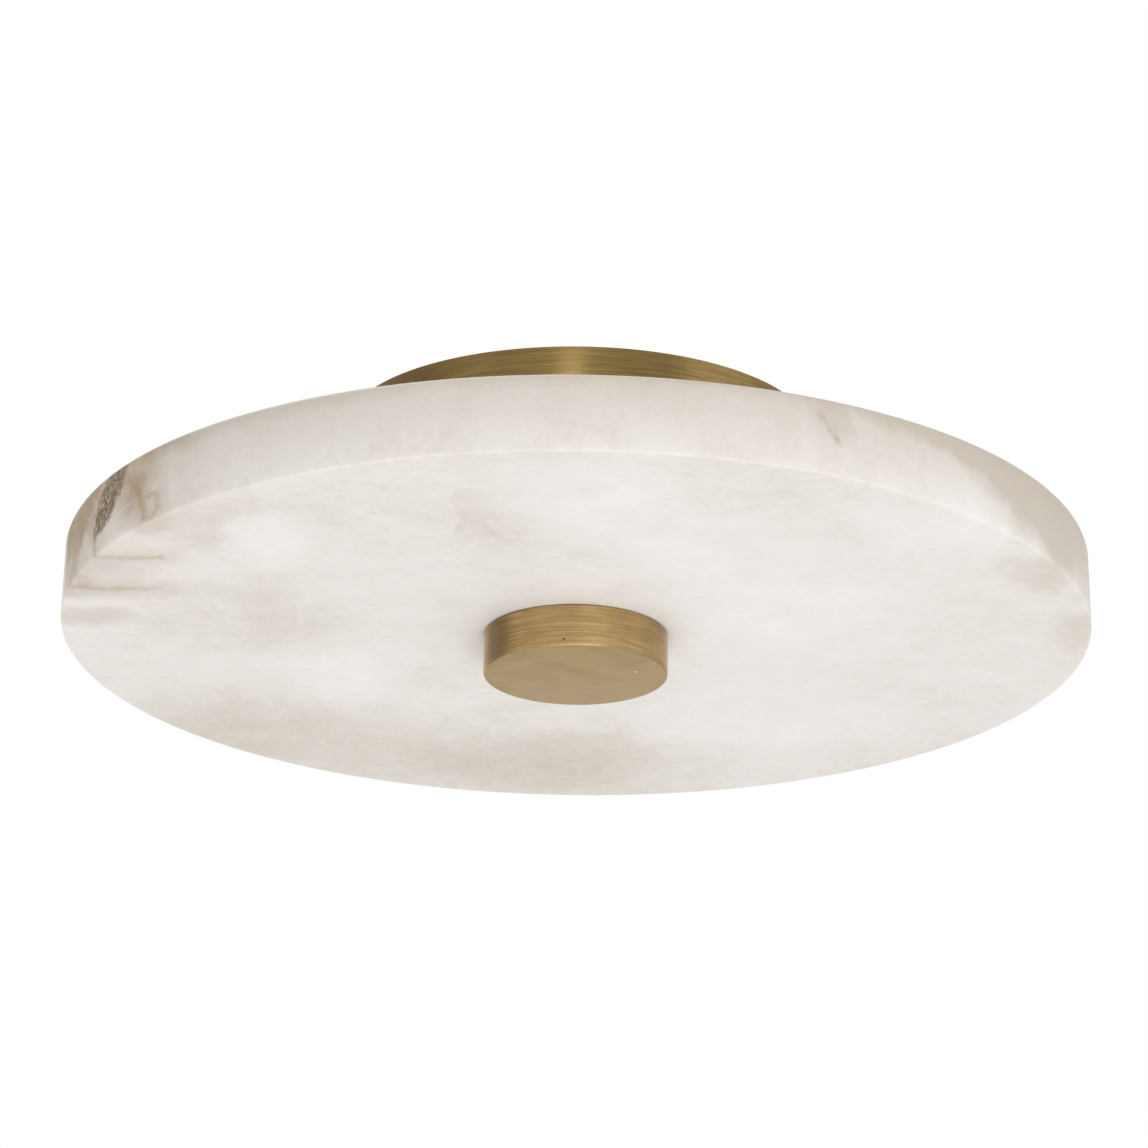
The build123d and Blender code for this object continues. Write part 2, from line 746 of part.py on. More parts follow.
# Brass cap, turned from one half section with a rebate for the felt, a pocket and a bored boss
cap_lower_edge = (cap_diameter / 2, cap_bottom)
cap_upper_edge = (cap_diameter / 2, cap_top)
brass_cap = turned_body(
    [
        (0, cap_bottom),
        cap_lower_edge,
        cap_upper_edge,
        (felt_radius, cap_top),
        (felt_radius, cap_ledge_top),
        (cap_pocket_radius, cap_ledge_top),
        (cap_pocket_radius, cap_floor_top),
        (cap_boss_diameter / 2, cap_floor_top),
        (cap_boss_diameter / 2, cap_ledge_top),
        (insert_diameter / 2, cap_ledge_top),
        (insert_diameter / 2, cap_floor_top),
        (0, cap_floor_top),
    ],
    [(cap_lower_edge, cap_lower_edge_bevel), (cap_upper_edge, cap_upper_edge_bevel)],
)
brass_cap.label = "brass_cap"
export_step(brass_cap, "parts/brass_cap.step")

# Threaded steel insert in the cap's boss
cap_insert = washer(cap_floor_top, insert_length, insert_diameter / 2, rod_radius + thread_clearance)
cap_insert.label = "cap_insert"
export_step(cap_insert, "parts/cap_insert.step")

# Felt ring between the cap and the shade
felt_ring = washer(cap_ledge_top, felt_thickness, felt_radius, cap_pocket_radius)
felt_ring.label = "felt_ring"
export_step(felt_ring, "parts/felt_ring.step")
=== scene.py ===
from math import acos, ceil, cos, pi, radians, sin, tan

import bmesh
import bpy
from mathutils import Matrix, Vector


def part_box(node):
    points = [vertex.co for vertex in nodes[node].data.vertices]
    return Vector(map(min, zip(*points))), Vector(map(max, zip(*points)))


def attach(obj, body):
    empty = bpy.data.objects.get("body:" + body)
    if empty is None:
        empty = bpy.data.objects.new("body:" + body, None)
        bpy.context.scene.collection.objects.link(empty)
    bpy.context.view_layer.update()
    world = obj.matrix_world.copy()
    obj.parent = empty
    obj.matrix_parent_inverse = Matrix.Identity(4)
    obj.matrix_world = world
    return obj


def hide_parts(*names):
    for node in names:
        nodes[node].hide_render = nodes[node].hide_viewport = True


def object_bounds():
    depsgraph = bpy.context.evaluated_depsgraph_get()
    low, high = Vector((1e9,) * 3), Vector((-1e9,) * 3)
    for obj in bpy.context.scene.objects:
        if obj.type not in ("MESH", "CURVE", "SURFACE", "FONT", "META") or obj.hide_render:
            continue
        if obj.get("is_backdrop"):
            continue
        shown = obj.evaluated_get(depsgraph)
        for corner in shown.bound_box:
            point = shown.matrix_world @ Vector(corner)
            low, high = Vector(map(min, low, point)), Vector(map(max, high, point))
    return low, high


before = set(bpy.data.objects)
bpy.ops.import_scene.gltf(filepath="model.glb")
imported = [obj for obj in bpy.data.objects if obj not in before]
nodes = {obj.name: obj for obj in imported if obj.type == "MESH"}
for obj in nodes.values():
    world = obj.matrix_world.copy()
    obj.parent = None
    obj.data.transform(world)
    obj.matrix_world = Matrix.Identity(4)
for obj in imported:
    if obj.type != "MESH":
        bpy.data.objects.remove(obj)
cad_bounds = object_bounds()

# Flush mount ceiling light: a hollowed alabaster disc hung under a spun brass canopy by a turned brass cap.
# Everything is in metres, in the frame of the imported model. The origin is in the ceiling plane, on the axis
# of the centre rod, and the light hangs down from it.

MM = 0.001


def mm(*values):
    return tuple(value * MM for value in values)


def reach(node):
    """The outer radius of a node that is turned about the rod's axis, with its lowest and highest levels."""
    low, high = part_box(node)
    return max(high.x, high.y, -low.x, -low.y), low.z, high.z


shade_radius, shade_bottom, shade_top = reach("alabaster_shade")
bush_radius, _, seat_top = reach("shade_bush")
cap_radius, cap_bottom, cap_top = reach("brass_cap")
felt_radius, cap_ledge, _ = reach("felt_ring")
insert_radius, cap_floor, _ = reach("cap_insert")
canopy_radius, canopy_bottom, canopy_top = reach("canopy")
tray_radius, tray_rim, _ = reach("light_tray")
rod_radius, rod_bottom, rod_top = reach("threaded_rod")
board_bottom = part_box("light_board")[0].z
tray_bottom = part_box("light_board")[1].z

# Sizes that the solids have inside their boxes
CANOPY_WALL = 1.2 * MM
TRAY_SHEET = 1.5 * MM
SHADE_TAPER = 1.0 * MM
SHADE_WALL = 12.0 * MM
SHADE_FLOOR = 11.0 * MM
SEAT_RADIUS = 29.0 * MM
CAP_LEDGE_WIDTH = 4.5 * MM
CAP_BOSS_RADIUS = 11.0 * MM
ROD_HOLE_RADIUS = 5.25 * MM
# Radii of a screw's shank and head, and the height of its head
SMALL_SHANK, SMALL_HEAD, SMALL_HEIGHT = mm(1.5, 2.8, 2.2)
LARGE_SHANK, LARGE_HEAD, LARGE_HEIGHT = mm(2.0, 3.7, 2.6)
# Radii of the two rings of diodes, in millimetres
INNER_RING, OUTER_RING = 64.0, 94.0


# Node materials. Each is named after the record's slot that it is the finish of
FINISH = "_finish"
BEVEL_SAMPLES = 4
# Farther from a line than any place on the light
FAR = 1.0
# The share of a spot's radius that is even, and the share of a streak's half width that fades
SPOT_CORE = 0.25
STREAK_EDGE = 0.4


def srgb(red, green, blue):
    """A colour written as it looks on a screen, 0 to 255, as the linear colour that a shader takes."""
    shares = [value / 255 for value in (red, green, blue)]
    return tuple(s / 12.92 if s <= 0.04045 else ((s + 0.055) / 1.055) ** 2.4 for s in shares) + (1.0,)


class Nodes:
    """A node tree in the making. Each method adds a node and gives its output socket."""

    def __init__(self, tree):
        self.tree = tree

    def feed(self, socket, value):
        """Links an output to a socket, or sets the socket to a constant."""
        if isinstance(value, bpy.types.NodeSocket):
            self.tree.links.new(value, socket)
        else:
            socket.default_value = value

    def add(self, kind, *values, output=0, named=None, **settings):
        """The output of a new node, fed with values in order and with named ones."""
        node = self.tree.nodes.new(kind)
        for setting, value in settings.items():
            setattr(node, setting, value)
        for socket, value in zip(node.inputs, values):
            self.feed(socket, value)
        for socket, value in (named or {}).items():
            self.feed(node.inputs[socket], value)
        return node.outputs[output]

    def math(self, operation, *values, clamp=False):
        return self.add("ShaderNodeMath", *values, operation=operation, use_clamp=clamp)

    def vector(self, operation, *values, output=0):
        return self.add("ShaderNodeVectorMath", *values, operation=operation, output=output)

    def length(self, vector):
        return self.vector("LENGTH", vector, output=1)

    def scaled(self, vector, factor):
        return self.add("ShaderNodeVectorMath", vector, operation="SCALE", named={"Scale": factor})

    def parts(self, vector):
        first = self.add("ShaderNodeSeparateXYZ", vector)
        return tuple(first.node.outputs)

    def joined(self, x, y, z):
        return self.add("ShaderNodeCombineXYZ", x, y, z)

    def noise(self, place, scale, detail=2.0, roughness=0.5, output=0):
        """Noise of so many features to a metre, about 0.5. Its output 1 is a colour."""
        named = {"Vector": place, "Scale": scale, "Detail": detail, "Roughness": roughness}
        return self.add("ShaderNodeTexNoise", named=named, output=output)

    def cells(self, place, scale, output=0):
        return self.add("ShaderNodeTexVoronoi", named={"Vector": place, "Scale": scale}, output=output)

    def warped(self, place, scale, detail, strength):
        """place, moved about by noise, by up to about half of strength each way."""
        drift = self.vector("SUBTRACT", self.noise(place, scale, detail, output=1), (0.5, 0.5, 0.5))
        return self.vector("ADD", place, self.scaled(drift, strength))

    def eased(self, value, low, high, new_low=0.0, new_high=1.0):
        """value, eased from new_low at low to new_high at high, and level beyond them."""
        return self.add(
            "ShaderNodeMapRange", value, low, high, new_low, new_high, interpolation_type="SMOOTHSTEP"
        )

    def mix(self, share, first, second):
        """The first colour at share 0 and the second at share 1."""
        node = self.tree.nodes.new("ShaderNodeMix")
        node.data_type = "RGBA"
        for index, value in ((0, share), (6, first), (7, second)):
            self.feed(node.inputs[index], value)
        return node.outputs[2]

    def shades(self, value, *stops):
        """A colour from value, by stops of (value, colour)."""
        ramp = self.add("ShaderNodeValToRGB", value)
        elements = ramp.node.color_ramp.elements
        while len(elements) < len(stops):
            elements.new(0.5)
        for element, (position, colour) in zip(elements, stops):
            element.position = position
            element.color = colour
        return ramp


class Finish(Nodes):
    """A procedural material in the making, in the object's own coordinates."""

    def __init__(self, name, **constants):
        self.material = bpy.data.materials.new(name + FINISH)
        self.material.use_nodes = True
        super().__init__(self.material.node_tree)
        self.shader = self.tree.nodes["Principled BSDF"]
        self.place = self.tree.nodes.new("ShaderNodeTexCoord").outputs["Object"]
        self.set(**constants)

    def set(self, **sockets):
        for socket, value in sockets.items():
            self.feed(self.shader.inputs[socket.replace("_", " ")], value)
        return self.material

    def bump(self, height, depth, normal=None):
        bumped = self.add("ShaderNodeBump", named={"Strength": 1.0, "Distance": depth, "Height": height})
        if normal is not None:
            self.feed(bumped.node.inputs["Normal"], normal)
        return bumped

    def softened(self, radius):
        """The normal, rounded off at the edges of a piece."""
        rounded_off = self.add("ShaderNodeBevel", radius)
        rounded_off.node.samples = BEVEL_SAMPLES
        return rounded_off

    def from_run(self, start, end, place):
        """The distance of place from the straight run between two points."""
        run = end - start
        offset = self.vector("SUBTRACT", place, tuple(start))
        along = self.vector("DOT_PRODUCT", offset, tuple(run / run.length_squared), output=1)
        nearest = self.scaled(tuple(run), self.math("ADD", along, 0.0, clamp=True))
        return self.length(self.vector("SUBTRACT", offset, nearest))

    def off_line(self, points, width, place):
        """The distance of place from a line through the points, in widths of the line."""
        nearest = FAR
        for start, end in zip(points, points[1:]):
            off_run = self.from_run(Vector(mm(*start)), Vector(mm(*end)), place)
            nearest = self.math("MINIMUM", nearest, off_run)
        return self.math("DIVIDE", nearest, width * MM)

    def streak(self, start, end, half_width, place):
        """1 in a long lens between two points, fading to 0 at its outline."""
        first, last = Vector(mm(*start)), Vector(mm(*end))
        along = self.vector("SUBTRACT", place, tuple((first + last) / 2))
        share = self.scaled(along, 2 / (last - first).length)
        narrowing = self.vector("DOT_PRODUCT", share, share, output=1)
        room = self.math("MULTIPLY_ADD", narrowing, -half_width * MM, half_width * MM)
        inside = self.math("SUBTRACT", room, self.from_run(first, last, place))
        return self.eased(inside, 0.0, STREAK_EDGE * half_width * MM)

    def spot(self, centre, radii, place):
        """1 at the middle of an ellipsoid, fading to 0 at its surface."""
        offset = self.vector("DIVIDE", self.vector("SUBTRACT", place, mm(*centre)), mm(*radii))
        return self.eased(self.length(offset), SPOT_CORE, 1.0, 1.0, 0.0)

    def heaped(self, start, marks, place):
        """start, with (centre, radii, weight) spots heaped on it."""
        for centre, radii, weight in marks:
            start = self.math("MULTIPLY_ADD", self.spot(centre, radii, place), weight, start)
        return start


# The markings of the stone, in millimetres, as they lie on the shade's wall and on its lower face: places,
# radii in x, y and z, and weights. A cloud is whiter where its weight is above zero and greyer where it is
# below. The grey spots on the wall's right end and at its upper rim on the right are painted shade
CLOUDS_AND_SHADE = [
    ((-115, -105, -84), (24, 42, 30), 0.25),
    ((-94, 59, -84), (32, 52, 30), 0.15),
    ((-66, -150, -84), (40, 30, 30), -0.04),
    ((0, -150, -84), (56, 50, 30), 0.16),
    ((-140, -120, -84), (60, 50, 40), -0.12),
    ((-36, -50, -84), (60, 50, 30), 0.02),
    ((-130, -18, -84), (70, 60, 40), -0.12),
    ((-130, 130, -84), (90, 80, 40), -0.24),
    ((-22, 160, -84), (86, 60, 40), -0.25),
    ((84, 105, -84), (80, 70, 40), 0.14),
    ((60, -30, -84), (100, 100, 40), 0.18),
    ((150, -130, -84), (80, 60, 26), 0.16),
    # Painted shade on the right front of the wall
    ((178, -96, -60), (56, 72, 34), -0.62),
    ((-168, -108, -73), (34, 40, 10), 0.28),
    ((48, -108, -84), (60, 44, 30), 0.12),
    # Painted shade on the wall's right end and at its upper rim on the right
    ((196, -10, -60), (24, 80, 40), -0.30),
    ((140, -142, -54), (60, 60, 12), -0.45),
    ((120, 150, -60), (60, 60, 40), -0.12),
]
STAINS = [
    ((-165, -114, -72), (20, 21, 15), 0.75),
    ((-185, -76, -60), (16, 30, 20), 1.00),
    ((-172, -100, -52), (22, 26, 14), 0.90),
    ((-190, -60, -53), (30, 62, 17), 0.75),
    ((-164, -112, -52), (46, 52, 13), 0.80),
    ((-140, -142, -52), (48, 44, 9), 0.12),
    ((-194, -52, -68), (14, 34, 26), 0.85),
    ((-192, -56, -60), (12, 28, 22), 0.60),
    ((-183, -62, -84), (26, 40, 10), 0.20),
    ((-192, -14, -84), (34, 14, 8), 0.25),
    ((58, -190, -51), (52, 26, 8), 0.45),
    ((94, -176, -60), (12, 12, 14), 0.22),
    ((176, 96, -62), (26, 38, 20), 0.50),
    ((-60, 190, -60), (50, 26, 16), 0.50),
]
# Rocky streaks, as two ends and a half width at the middle
ROCKY_STREAKS = [
    ((-169, -106, -49), (-184.5, -78, -78), 13.0),
    ((181, 84, -56), (170, 105, -76), 3.5),
    ((-78, 183, -54), (-46, 194, -72), 1.8),
]
# Soft brown lines, as points, a width and a strength
BROWN_LINES = [
    ([(-171, -103, -54), (-183, -81, -74)], 7.5, 0.95),
    ([(-178, -91, -53), (-159, -121, -53)], 5.0, 0.90),
    ([(-173, -100, -56), (-163, -116, -66)], 5.0, 0.70),
    ([(-183, -81, -74), (-181.6, -82.0, -84)], 3.6, 0.95),
    ([(-181.6, -82.0, -84), (-168, -81.0, -84), (-158, -82.0, -84)], 4.6, 0.58),
    ([(-189, -64, -66), (-194, -49, -84), (-182, -46.5, -84), (-160, -47.5, -84)], 4.4, 0.58),
    (
        [
            (-175, -96, -58),
            (-171, -104, -61),
            (-166, -111.8, -66),
            (-163.1, -115.7, -75),
            (-161.8, -117.5, -81),
        ],
        4.4,
        0.95,
    ),
    ([(-161, -118, -72), (-156.5, -124, -75), (-156, -125, -80), (-160, -120, -82)], 3.0, 0.85),
    ([(85, -181, -57), (92, -177.5, -65), (96, -175.5, -71)], 0.8, 0.70),
]
PALE_SCRATCH = [(-155.7, -125.5, -71), (-165, -113, -71.5), (-174.4, -97.9, -73.4)]
SCRATCH_WIDTH = 0.5
# A greyer zone, and the stretch of X in which it ends at a cleavage, before that is torn by noise
GREY_ZONE = ((-34, -128, -84), (40, 50, 30))
CLEAVAGE = mm(-36.0, -34.5)
CLEAVAGE_TEAR = 20.0 * MM

# Noises in the stone, as features to a metre, detail and roughness, and their shares of its tone
CLOUD_NOISE, CLOUD_SHARE = (6.5, 6.0, 0.62), 0.42
WISP_NOISE, WISP_SHARE = (42.0, 6.0, 0.7), 0.46
MOTTLING_NOISE, MOTTLING_SHARE = (260.0, 3.0, 0.6), 0.24
CRUMB_NOISE, CRYSTAL_SCALE = (520.0, 4.0, 0.6), 620.0
# How markings wander and how fine ones fray, as features to a metre, detail and reach in metres
WANDER = (26.0, 5.0, 0.030)
FRAY = (280.0, 5.0, 0.006)
# What the wisps do to the stains, to the lines and to the gloss
WISPS_IN_STAINS = (0.32, 0.60, 0.55, 0.96)
WISPS_IN_LINES = (0.35, 0.6, 0.60, 1.0)
WISPS_IN_GLOSS = (0.3, 0.7, 0.42, 0.55)

# Tones and colours
STONE_TONES = [(0.15, srgb(207, 198, 186)), (0.50, srgb(231, 226, 221)), (0.85, srgb(244, 241, 239))]
ROCK_TONES = [(0.25, srgb(98, 82, 64)), (0.50, srgb(132, 114, 93)), (0.80, srgb(184, 168, 147))]
# The colour of the painted shade at the wall's upper edge
RIM_SHADE_COLOUR = srgb(190, 179, 163)
STAIN_BROWN = srgb(160, 138, 111)
LINE_BROWN = srgb(172, 146, 114)
SCRATCH_COLOUR = srgb(238, 232, 224)
# How much painted shade darkens the wall up to its rim, how much more in the band at the rim, and how far noise
# shifts that
SHADE_CLIMB_SHARE, RIM_SHADE_SHARE = 0.52, 0.22
RIM_SHADE_BAND = 9 * MM
RIM_SHADE_DRIFT = 16.0 * MM
# How far the core and the halo of a brown line reach, in widths, and their shares of its strength
LINE_CORE, LINE_CORE_SHARE = 0.9, 0.55
LINE_HALO, LINE_HALO_SHARE = 3.5, 0.45
STONE_RELIEF = 0.00005


def alabaster():
    stone = Finish("alabaster", Subsurface_Weight=0.25, Subsurface_Scale=0.006, Specular_IOR_Level=0.2)
    stone.set(Subsurface_Radius=(1.0, 0.85, 0.7))
    drifting = stone.warped(stone.place, *WANDER)
    frayed = stone.warped(stone.place, *FRAY)
    across, _, level = stone.parts(stone.place)

    # Clouds, wisps and a fine mottling, and a greyer zone that ends at a ragged cleavage
    clouds = stone.noise(drifting, *CLOUD_NOISE)
    wisps = stone.noise(drifting, *WISP_NOISE)
    mottling = stone.noise(stone.place, *MOTTLING_NOISE)
    tone = 0.5 - (CLOUD_SHARE + WISP_SHARE + MOTTLING_SHARE) / 2
    for pattern, share in ((clouds, CLOUD_SHARE), (wisps, WISP_SHARE), (mottling, MOTTLING_SHARE)):
        tone = stone.math("MULTIPLY_ADD", pattern, share, tone)
    # Whiter and greyer clouds, among them painted shade on the right of the wall
    tone = stone.heaped(tone, CLOUDS_AND_SHADE, drifting)
    torn = stone.math("MULTIPLY_ADD", stone.noise(stone.place, 40.0, 5.0), CLEAVAGE_TEAR, across)
    zone = stone.math("MULTIPLY", stone.eased(torn, *CLEAVAGE), stone.spot(*GREY_ZONE, stone.place))
    tone = stone.math("MULTIPLY_ADD", zone, -0.12, tone)
    colour = stone.shades(tone, *STONE_TONES)

    # Painted shade: the wall is darkened towards its upper edge, where less light falls on it
    rise = stone.math("MULTIPLY_ADD", stone.math("SUBTRACT", clouds, 0.5), RIM_SHADE_DRIFT, level)
    shade_climb = stone.add("ShaderNodeMapRange", rise, shade_bottom, shade_top, 0.0, SHADE_CLIMB_SHARE)
    rim_shade = stone.eased(rise, shade_top - RIM_SHADE_BAND, shade_top, 0.0, RIM_SHADE_SHARE)
    shade_climb = stone.math("ADD", shade_climb, rim_shade)
    colour = stone.mix(shade_climb, colour, RIM_SHADE_COLOUR)

    # Stains and soft brown lines
    stain = stone.math("MINIMUM", stone.heaped(0.0, STAINS, drifting), 1.0)
    stain = stone.math("MULTIPLY", stain, stone.eased(wisps, *WISPS_IN_STAINS))
    colour = stone.mix(stain, colour, STAIN_BROWN)
    lines = 0.0
    for points, width, strength in BROWN_LINES:
        off = stone.off_line(points, width, frayed)
        core = stone.eased(off, 0.0, LINE_CORE, LINE_CORE_SHARE * strength, 0.0)
        halo = stone.eased(off, 0.0, LINE_HALO, LINE_HALO_SHARE * strength, 0.0)
        lines = stone.math("MAXIMUM", lines, stone.math("ADD", core, halo))
    lines = stone.math("MULTIPLY", lines, stone.eased(wisps, *WISPS_IN_LINES))
    colour = stone.mix(lines, colour, LINE_BROWN)

    # Rocky streaks with pale crystals in them, and a pale scratch
    rocky = 0.0
    for start, end, half_width in ROCKY_STREAKS:
        rocky = stone.math("MAXIMUM", rocky, stone.streak(start, end, half_width, frayed))
    grain = stone.parts(stone.cells(frayed, CRYSTAL_SCALE, output=1))[0]
    crumbs = stone.noise(frayed, *CRUMB_NOISE)
    crushed = stone.math("MULTIPLY_ADD", crumbs, 1.2, stone.math("MULTIPLY_ADD", grain, 0.4, -0.30))
    colour = stone.mix(stone.math("MULTIPLY", rocky, 0.92), colour, stone.shades(crushed, *ROCK_TONES))
    scratch = stone.eased(stone.off_line(PALE_SCRATCH, SCRATCH_WIDTH, stone.place), 0.2, 1.0, 0.5, 0.0)
    colour = stone.mix(scratch, colour, SCRATCH_COLOUR)

    relief = stone.math("MULTIPLY_ADD", stone.math("MULTIPLY", rocky, grain), -2.0, mottling)
    return stone.set(
        Base_Color=colour,
        Roughness=stone.math("MULTIPLY_ADD", rocky, 0.2, stone.eased(wisps, *WISPS_IN_GLOSS)),
        Normal=stone.bump(relief, STONE_RELIEF),
    )


# Painted shade on the brass: spots that darken ends and bands of the sides, as places, radii and weights in
# millimetres. The cap's last spot is a pit in its side
CANOPY_PAINTED_SHADE = [
    ((-66, -62, -8), (36, 38, 26), 0.60),
    ((26, -88, -8), (16, 20, 26), 0.14),
    ((-24, -88, -8), (18, 20, 26), 0.10),
]
CAP_PAINTED_SHADE_AND_PIT = [
    ((-31, -19, -93), (13, 15, 24), 0.60),
    ((32, -18, -93), (10, 16, 24), 0.22),
    ((-4.6, -35.5, -98.3), (0.8, 0.8, 0.6), 0.90),
]
# A pale speck on the cap's face
SPECK = ((23.4, -4.8, -100.7), (1.0, 1.0, 1.0))
TARNISH = srgb(112, 92, 58)
FRECKLES = srgb(96, 76, 48)
# The brown of the painted shade spots and of the cap's pit
SHADE_AND_PIT_BROWN = srgb(86, 66, 38)
SPECK_COLOUR = srgb(240, 226, 198)
# Brushing, as strokes to a metre across them and a share
COARSE, COARSE_SHARE = 700.0, 0.4
FINE, FINE_SHARE = 2300.0, 0.6
# Straight hairs, as features to a metre in x, y and z
HAIRS = (55.0, 3400.0, 0.0)
STROKE_NOISE = (1.0, 3.0, 0.6)
BRASS_RELIEF = 0.00002


def brass_shades(brass, strokes, light, middle, dark):
    """The colour of brushed brass under blotches of tarnish, and how thick the tarnish is."""
    colour = brass.shades(strokes, (0.32, srgb(*dark)), (0.50, srgb(*middle)), (0.68, srgb(*light)))
    tarnish = brass.eased(brass.noise(brass.place, 34.0, 4.0, 0.6), 0.40, 0.70, 0.0, 0.20)
    return brass.mix(tarnish, colour, TARNISH), tarnish


def brushed_brass(brass, colour, strokes, tarnish, gloss):
    """Brass that is rougher in its strokes and its tarnish. gloss is its range of roughness."""
    return brass.set(
        Base_Color=colour,
        Roughness=brass.eased(brass.math("ADD", strokes, tarnish), 0.3, 0.9, *gloss),
        Normal=brass.bump(strokes, BRASS_RELIEF),
    )


def antique_brass(name, light, middle, dark, turns, shade_and_pits, gloss):
    """Darkened brass, brushed round its sides, with spots of painted shade, and a pit where one is given."""
    brass = Finish(name, Metallic=1.0, Anisotropic=0.7, Anisotropic_Rotation=0.25)
    x, y, z = brass.parts(brass.place)
    radius = brass.math("MAXIMUM", brass.length(brass.joined(x, y, 0.0)), 1e-5)
    way = brass.joined(brass.math("DIVIDE", x, radius), brass.math("DIVIDE", y, radius), 0.0)

    def brushed(around, across):
        rise = brass.math("MULTIPLY", brass.math("SUBTRACT", z, radius), across)
        stretched = brass.vector("ADD", brass.scaled(way, around), brass.joined(0.0, 0.0, rise))
        return brass.noise(stretched, *STROKE_NOISE)

    coarse = brass.math("MULTIPLY", brushed(0.4 * turns, COARSE), COARSE_SHARE)
    streaks = brass.math("MULTIPLY_ADD", brushed(turns, FINE), FINE_SHARE, coarse)
    colour, tarnish = brass_shades(brass, streaks, light, middle, dark)
    freckles = brass.eased(brass.noise(brass.place, 900.0, 1.0), 0.72, 0.80, 0.0, 0.5)
    colour = brass.mix(freckles, colour, FRECKLES)
    # Painted shade: dark spots on the sides, where the reflections are dark; on the cap also a pit
    colour = brass.mix(brass.heaped(0.0, shade_and_pits, brass.place), colour, SHADE_AND_PIT_BROWN)
    return brushed_brass(brass, colour, streaks, tarnish, gloss)


def matt_brass(name, light, middle, dark, gloss):
    """Brass with very fine straight hairs along X, and a speck."""
    brass = Finish(name, Metallic=1.0)
    hairs = brass.noise(brass.vector("MULTIPLY", brass.place, HAIRS), *STROKE_NOISE)
    colour, tarnish = brass_shades(brass, hairs, light, middle, dark)
    colour = brass.mix(brass.spot(*SPECK, brass.place), colour, SPECK_COLOUR)
    return brushed_brass(brass, colour, hairs, tarnish, gloss)


# How far a small piece's edges look rounded
EDGE = 0.0003
FINE_EDGE = 0.00005
# Where the sum of two noises goes from one colour to the other
BLEND = (0.7, 1.3)
TURNING_RELIEF = 0.00003
TRACK_EDGE = 0.1 * MM
TRACK_RELIEF = 0.00004
WEAVE = srgb(120, 120, 110)


def turned_metal(name, light, dark, roughness, lines):
    """Metal with fine turning lines about the rod's axis, on faces and sides alike."""
    metal = Finish(name, Metallic=1.0)
    x, y, z = metal.parts(metal.place)
    radius = metal.length(metal.joined(x, y, 0.0))
    cuts = metal.noise(metal.joined(metal.math("ADD", radius, z), 0.0, 0.0), lines, 2.0, 0.7)
    cloudy = metal.noise(metal.place, 45.0, 4.0)
    share = metal.eased(metal.math("ADD", cuts, cloudy), *BLEND)
    colour = metal.mix(share, srgb(*dark), srgb(*light))
    return metal.set(
        Base_Color=colour,
        Roughness=metal.eased(cloudy, 0.3, 0.7, roughness - 0.05, roughness + 0.08),
        Normal=metal.bump(cuts, TURNING_RELIEF, metal.softened(EDGE)),
    )


def grained(name, light, dark, roughness, scale, depth, metallic=0.0, edge=EDGE):
    """A plain stuff of two near shades with a fine grain."""
    stuff = Finish(name, Metallic=metallic)
    cloudy = stuff.noise(stuff.place, scale / 12, 4.0)
    grain = stuff.noise(stuff.place, scale, 3.0)
    share = stuff.eased(stuff.math("ADD", cloudy, grain), *BLEND)
    colour = stuff.mix(share, srgb(*dark), srgb(*light))
    return stuff.set(
        Base_Color=colour,
        Roughness=stuff.eased(cloudy, 0.3, 0.7, roughness - 0.05, roughness + 0.07),
        Normal=stuff.bump(grain, depth, stuff.softened(edge)),
    )


def circuit_board(name, mask, track, rings):
    """Solder mask over copper, which shows as rings round the rod's axis, given as (radius, half width)."""
    board = Finish(name)
    x, y, _ = board.parts(board.place)
    radius = board.length(board.joined(x, y, 0.0))
    tracks = 0.0
    for centre, half_width in rings:
        off = board.math("ABSOLUTE", board.math("SUBTRACT", radius, centre))
        ring = board.eased(off, half_width, half_width + TRACK_EDGE, 1.0, 0.0)
        tracks = board.math("MAXIMUM", tracks, ring)
    weave = board.eased(board.noise(board.place, 1500.0, 1.0), 0.3, 0.7, 0.0, 0.12)
    colour = board.mix(weave, board.mix(tracks, srgb(*mask), srgb(*track)), WEAVE)
    return board.set(
        Base_Color=colour,
        Roughness=board.eased(board.noise(board.place, 60.0, 3.0), 0.3, 0.7, 0.36, 0.46),
        Normal=board.bump(tracks, TRACK_RELIEF),
    )


# The finishes. Colours are light, middle and dark, or light and dark, as they look on a screen
CANOPY_TONES = [(148, 126, 80), (130, 108, 66), (106, 86, 50)]
CAP_TONES = [(216, 186, 134), (194, 164, 115), (158, 128, 84)]
CAP_FACE_TONES = [(201, 174, 127), (190, 163, 116), (177, 150, 105)]
stone_finish = alabaster()
canopy_brass = antique_brass("antique_brass", *CANOPY_TONES, 6.0, CANOPY_PAINTED_SHADE, (0.28, 0.40))
cap_brass = antique_brass("antique_brass_cap", *CAP_TONES, 2.4, CAP_PAINTED_SHADE_AND_PIT, (0.38, 0.50))
cap_face_brass = matt_brass("antique_brass_face", *CAP_FACE_TONES, (0.36, 0.50))
zinc = grained("zinc_steel", (178, 180, 184), (150, 152, 152), 0.34, 900.0, 0.00002, 1.0)
green_steel = grained("green_steel", (44, 132, 66), (30, 104, 50), 0.40, 700.0, 0.00002)
tinned = grained("tinned_copper", (204, 203, 197), (176, 174, 166), 0.30, 900.0, 0.00002, 1.0)
aluminium = turned_metal("spun_aluminium", (214, 215, 217), (188, 190, 192), 0.36, 1500.0)
black_rubber = grained("black_rubber", (44, 44, 43), (30, 30, 30), 0.72, 1800.0, 0.00004)
grey_rubber = grained("grey_rubber", (112, 112, 109), (92, 92, 90), 0.70, 1800.0, 0.00004)
felt = grained("brown_felt", (98, 78, 60), (66, 50, 38), 0.95, 2600.0, 0.00030)
white_nylon = grained("white_nylon", (233, 231, 224), (221, 218, 209), 0.42, 500.0, 0.00001)
driver_white = grained("driver_white", (229, 229, 227), (217, 217, 214), 0.55, 1600.0, 0.00003)
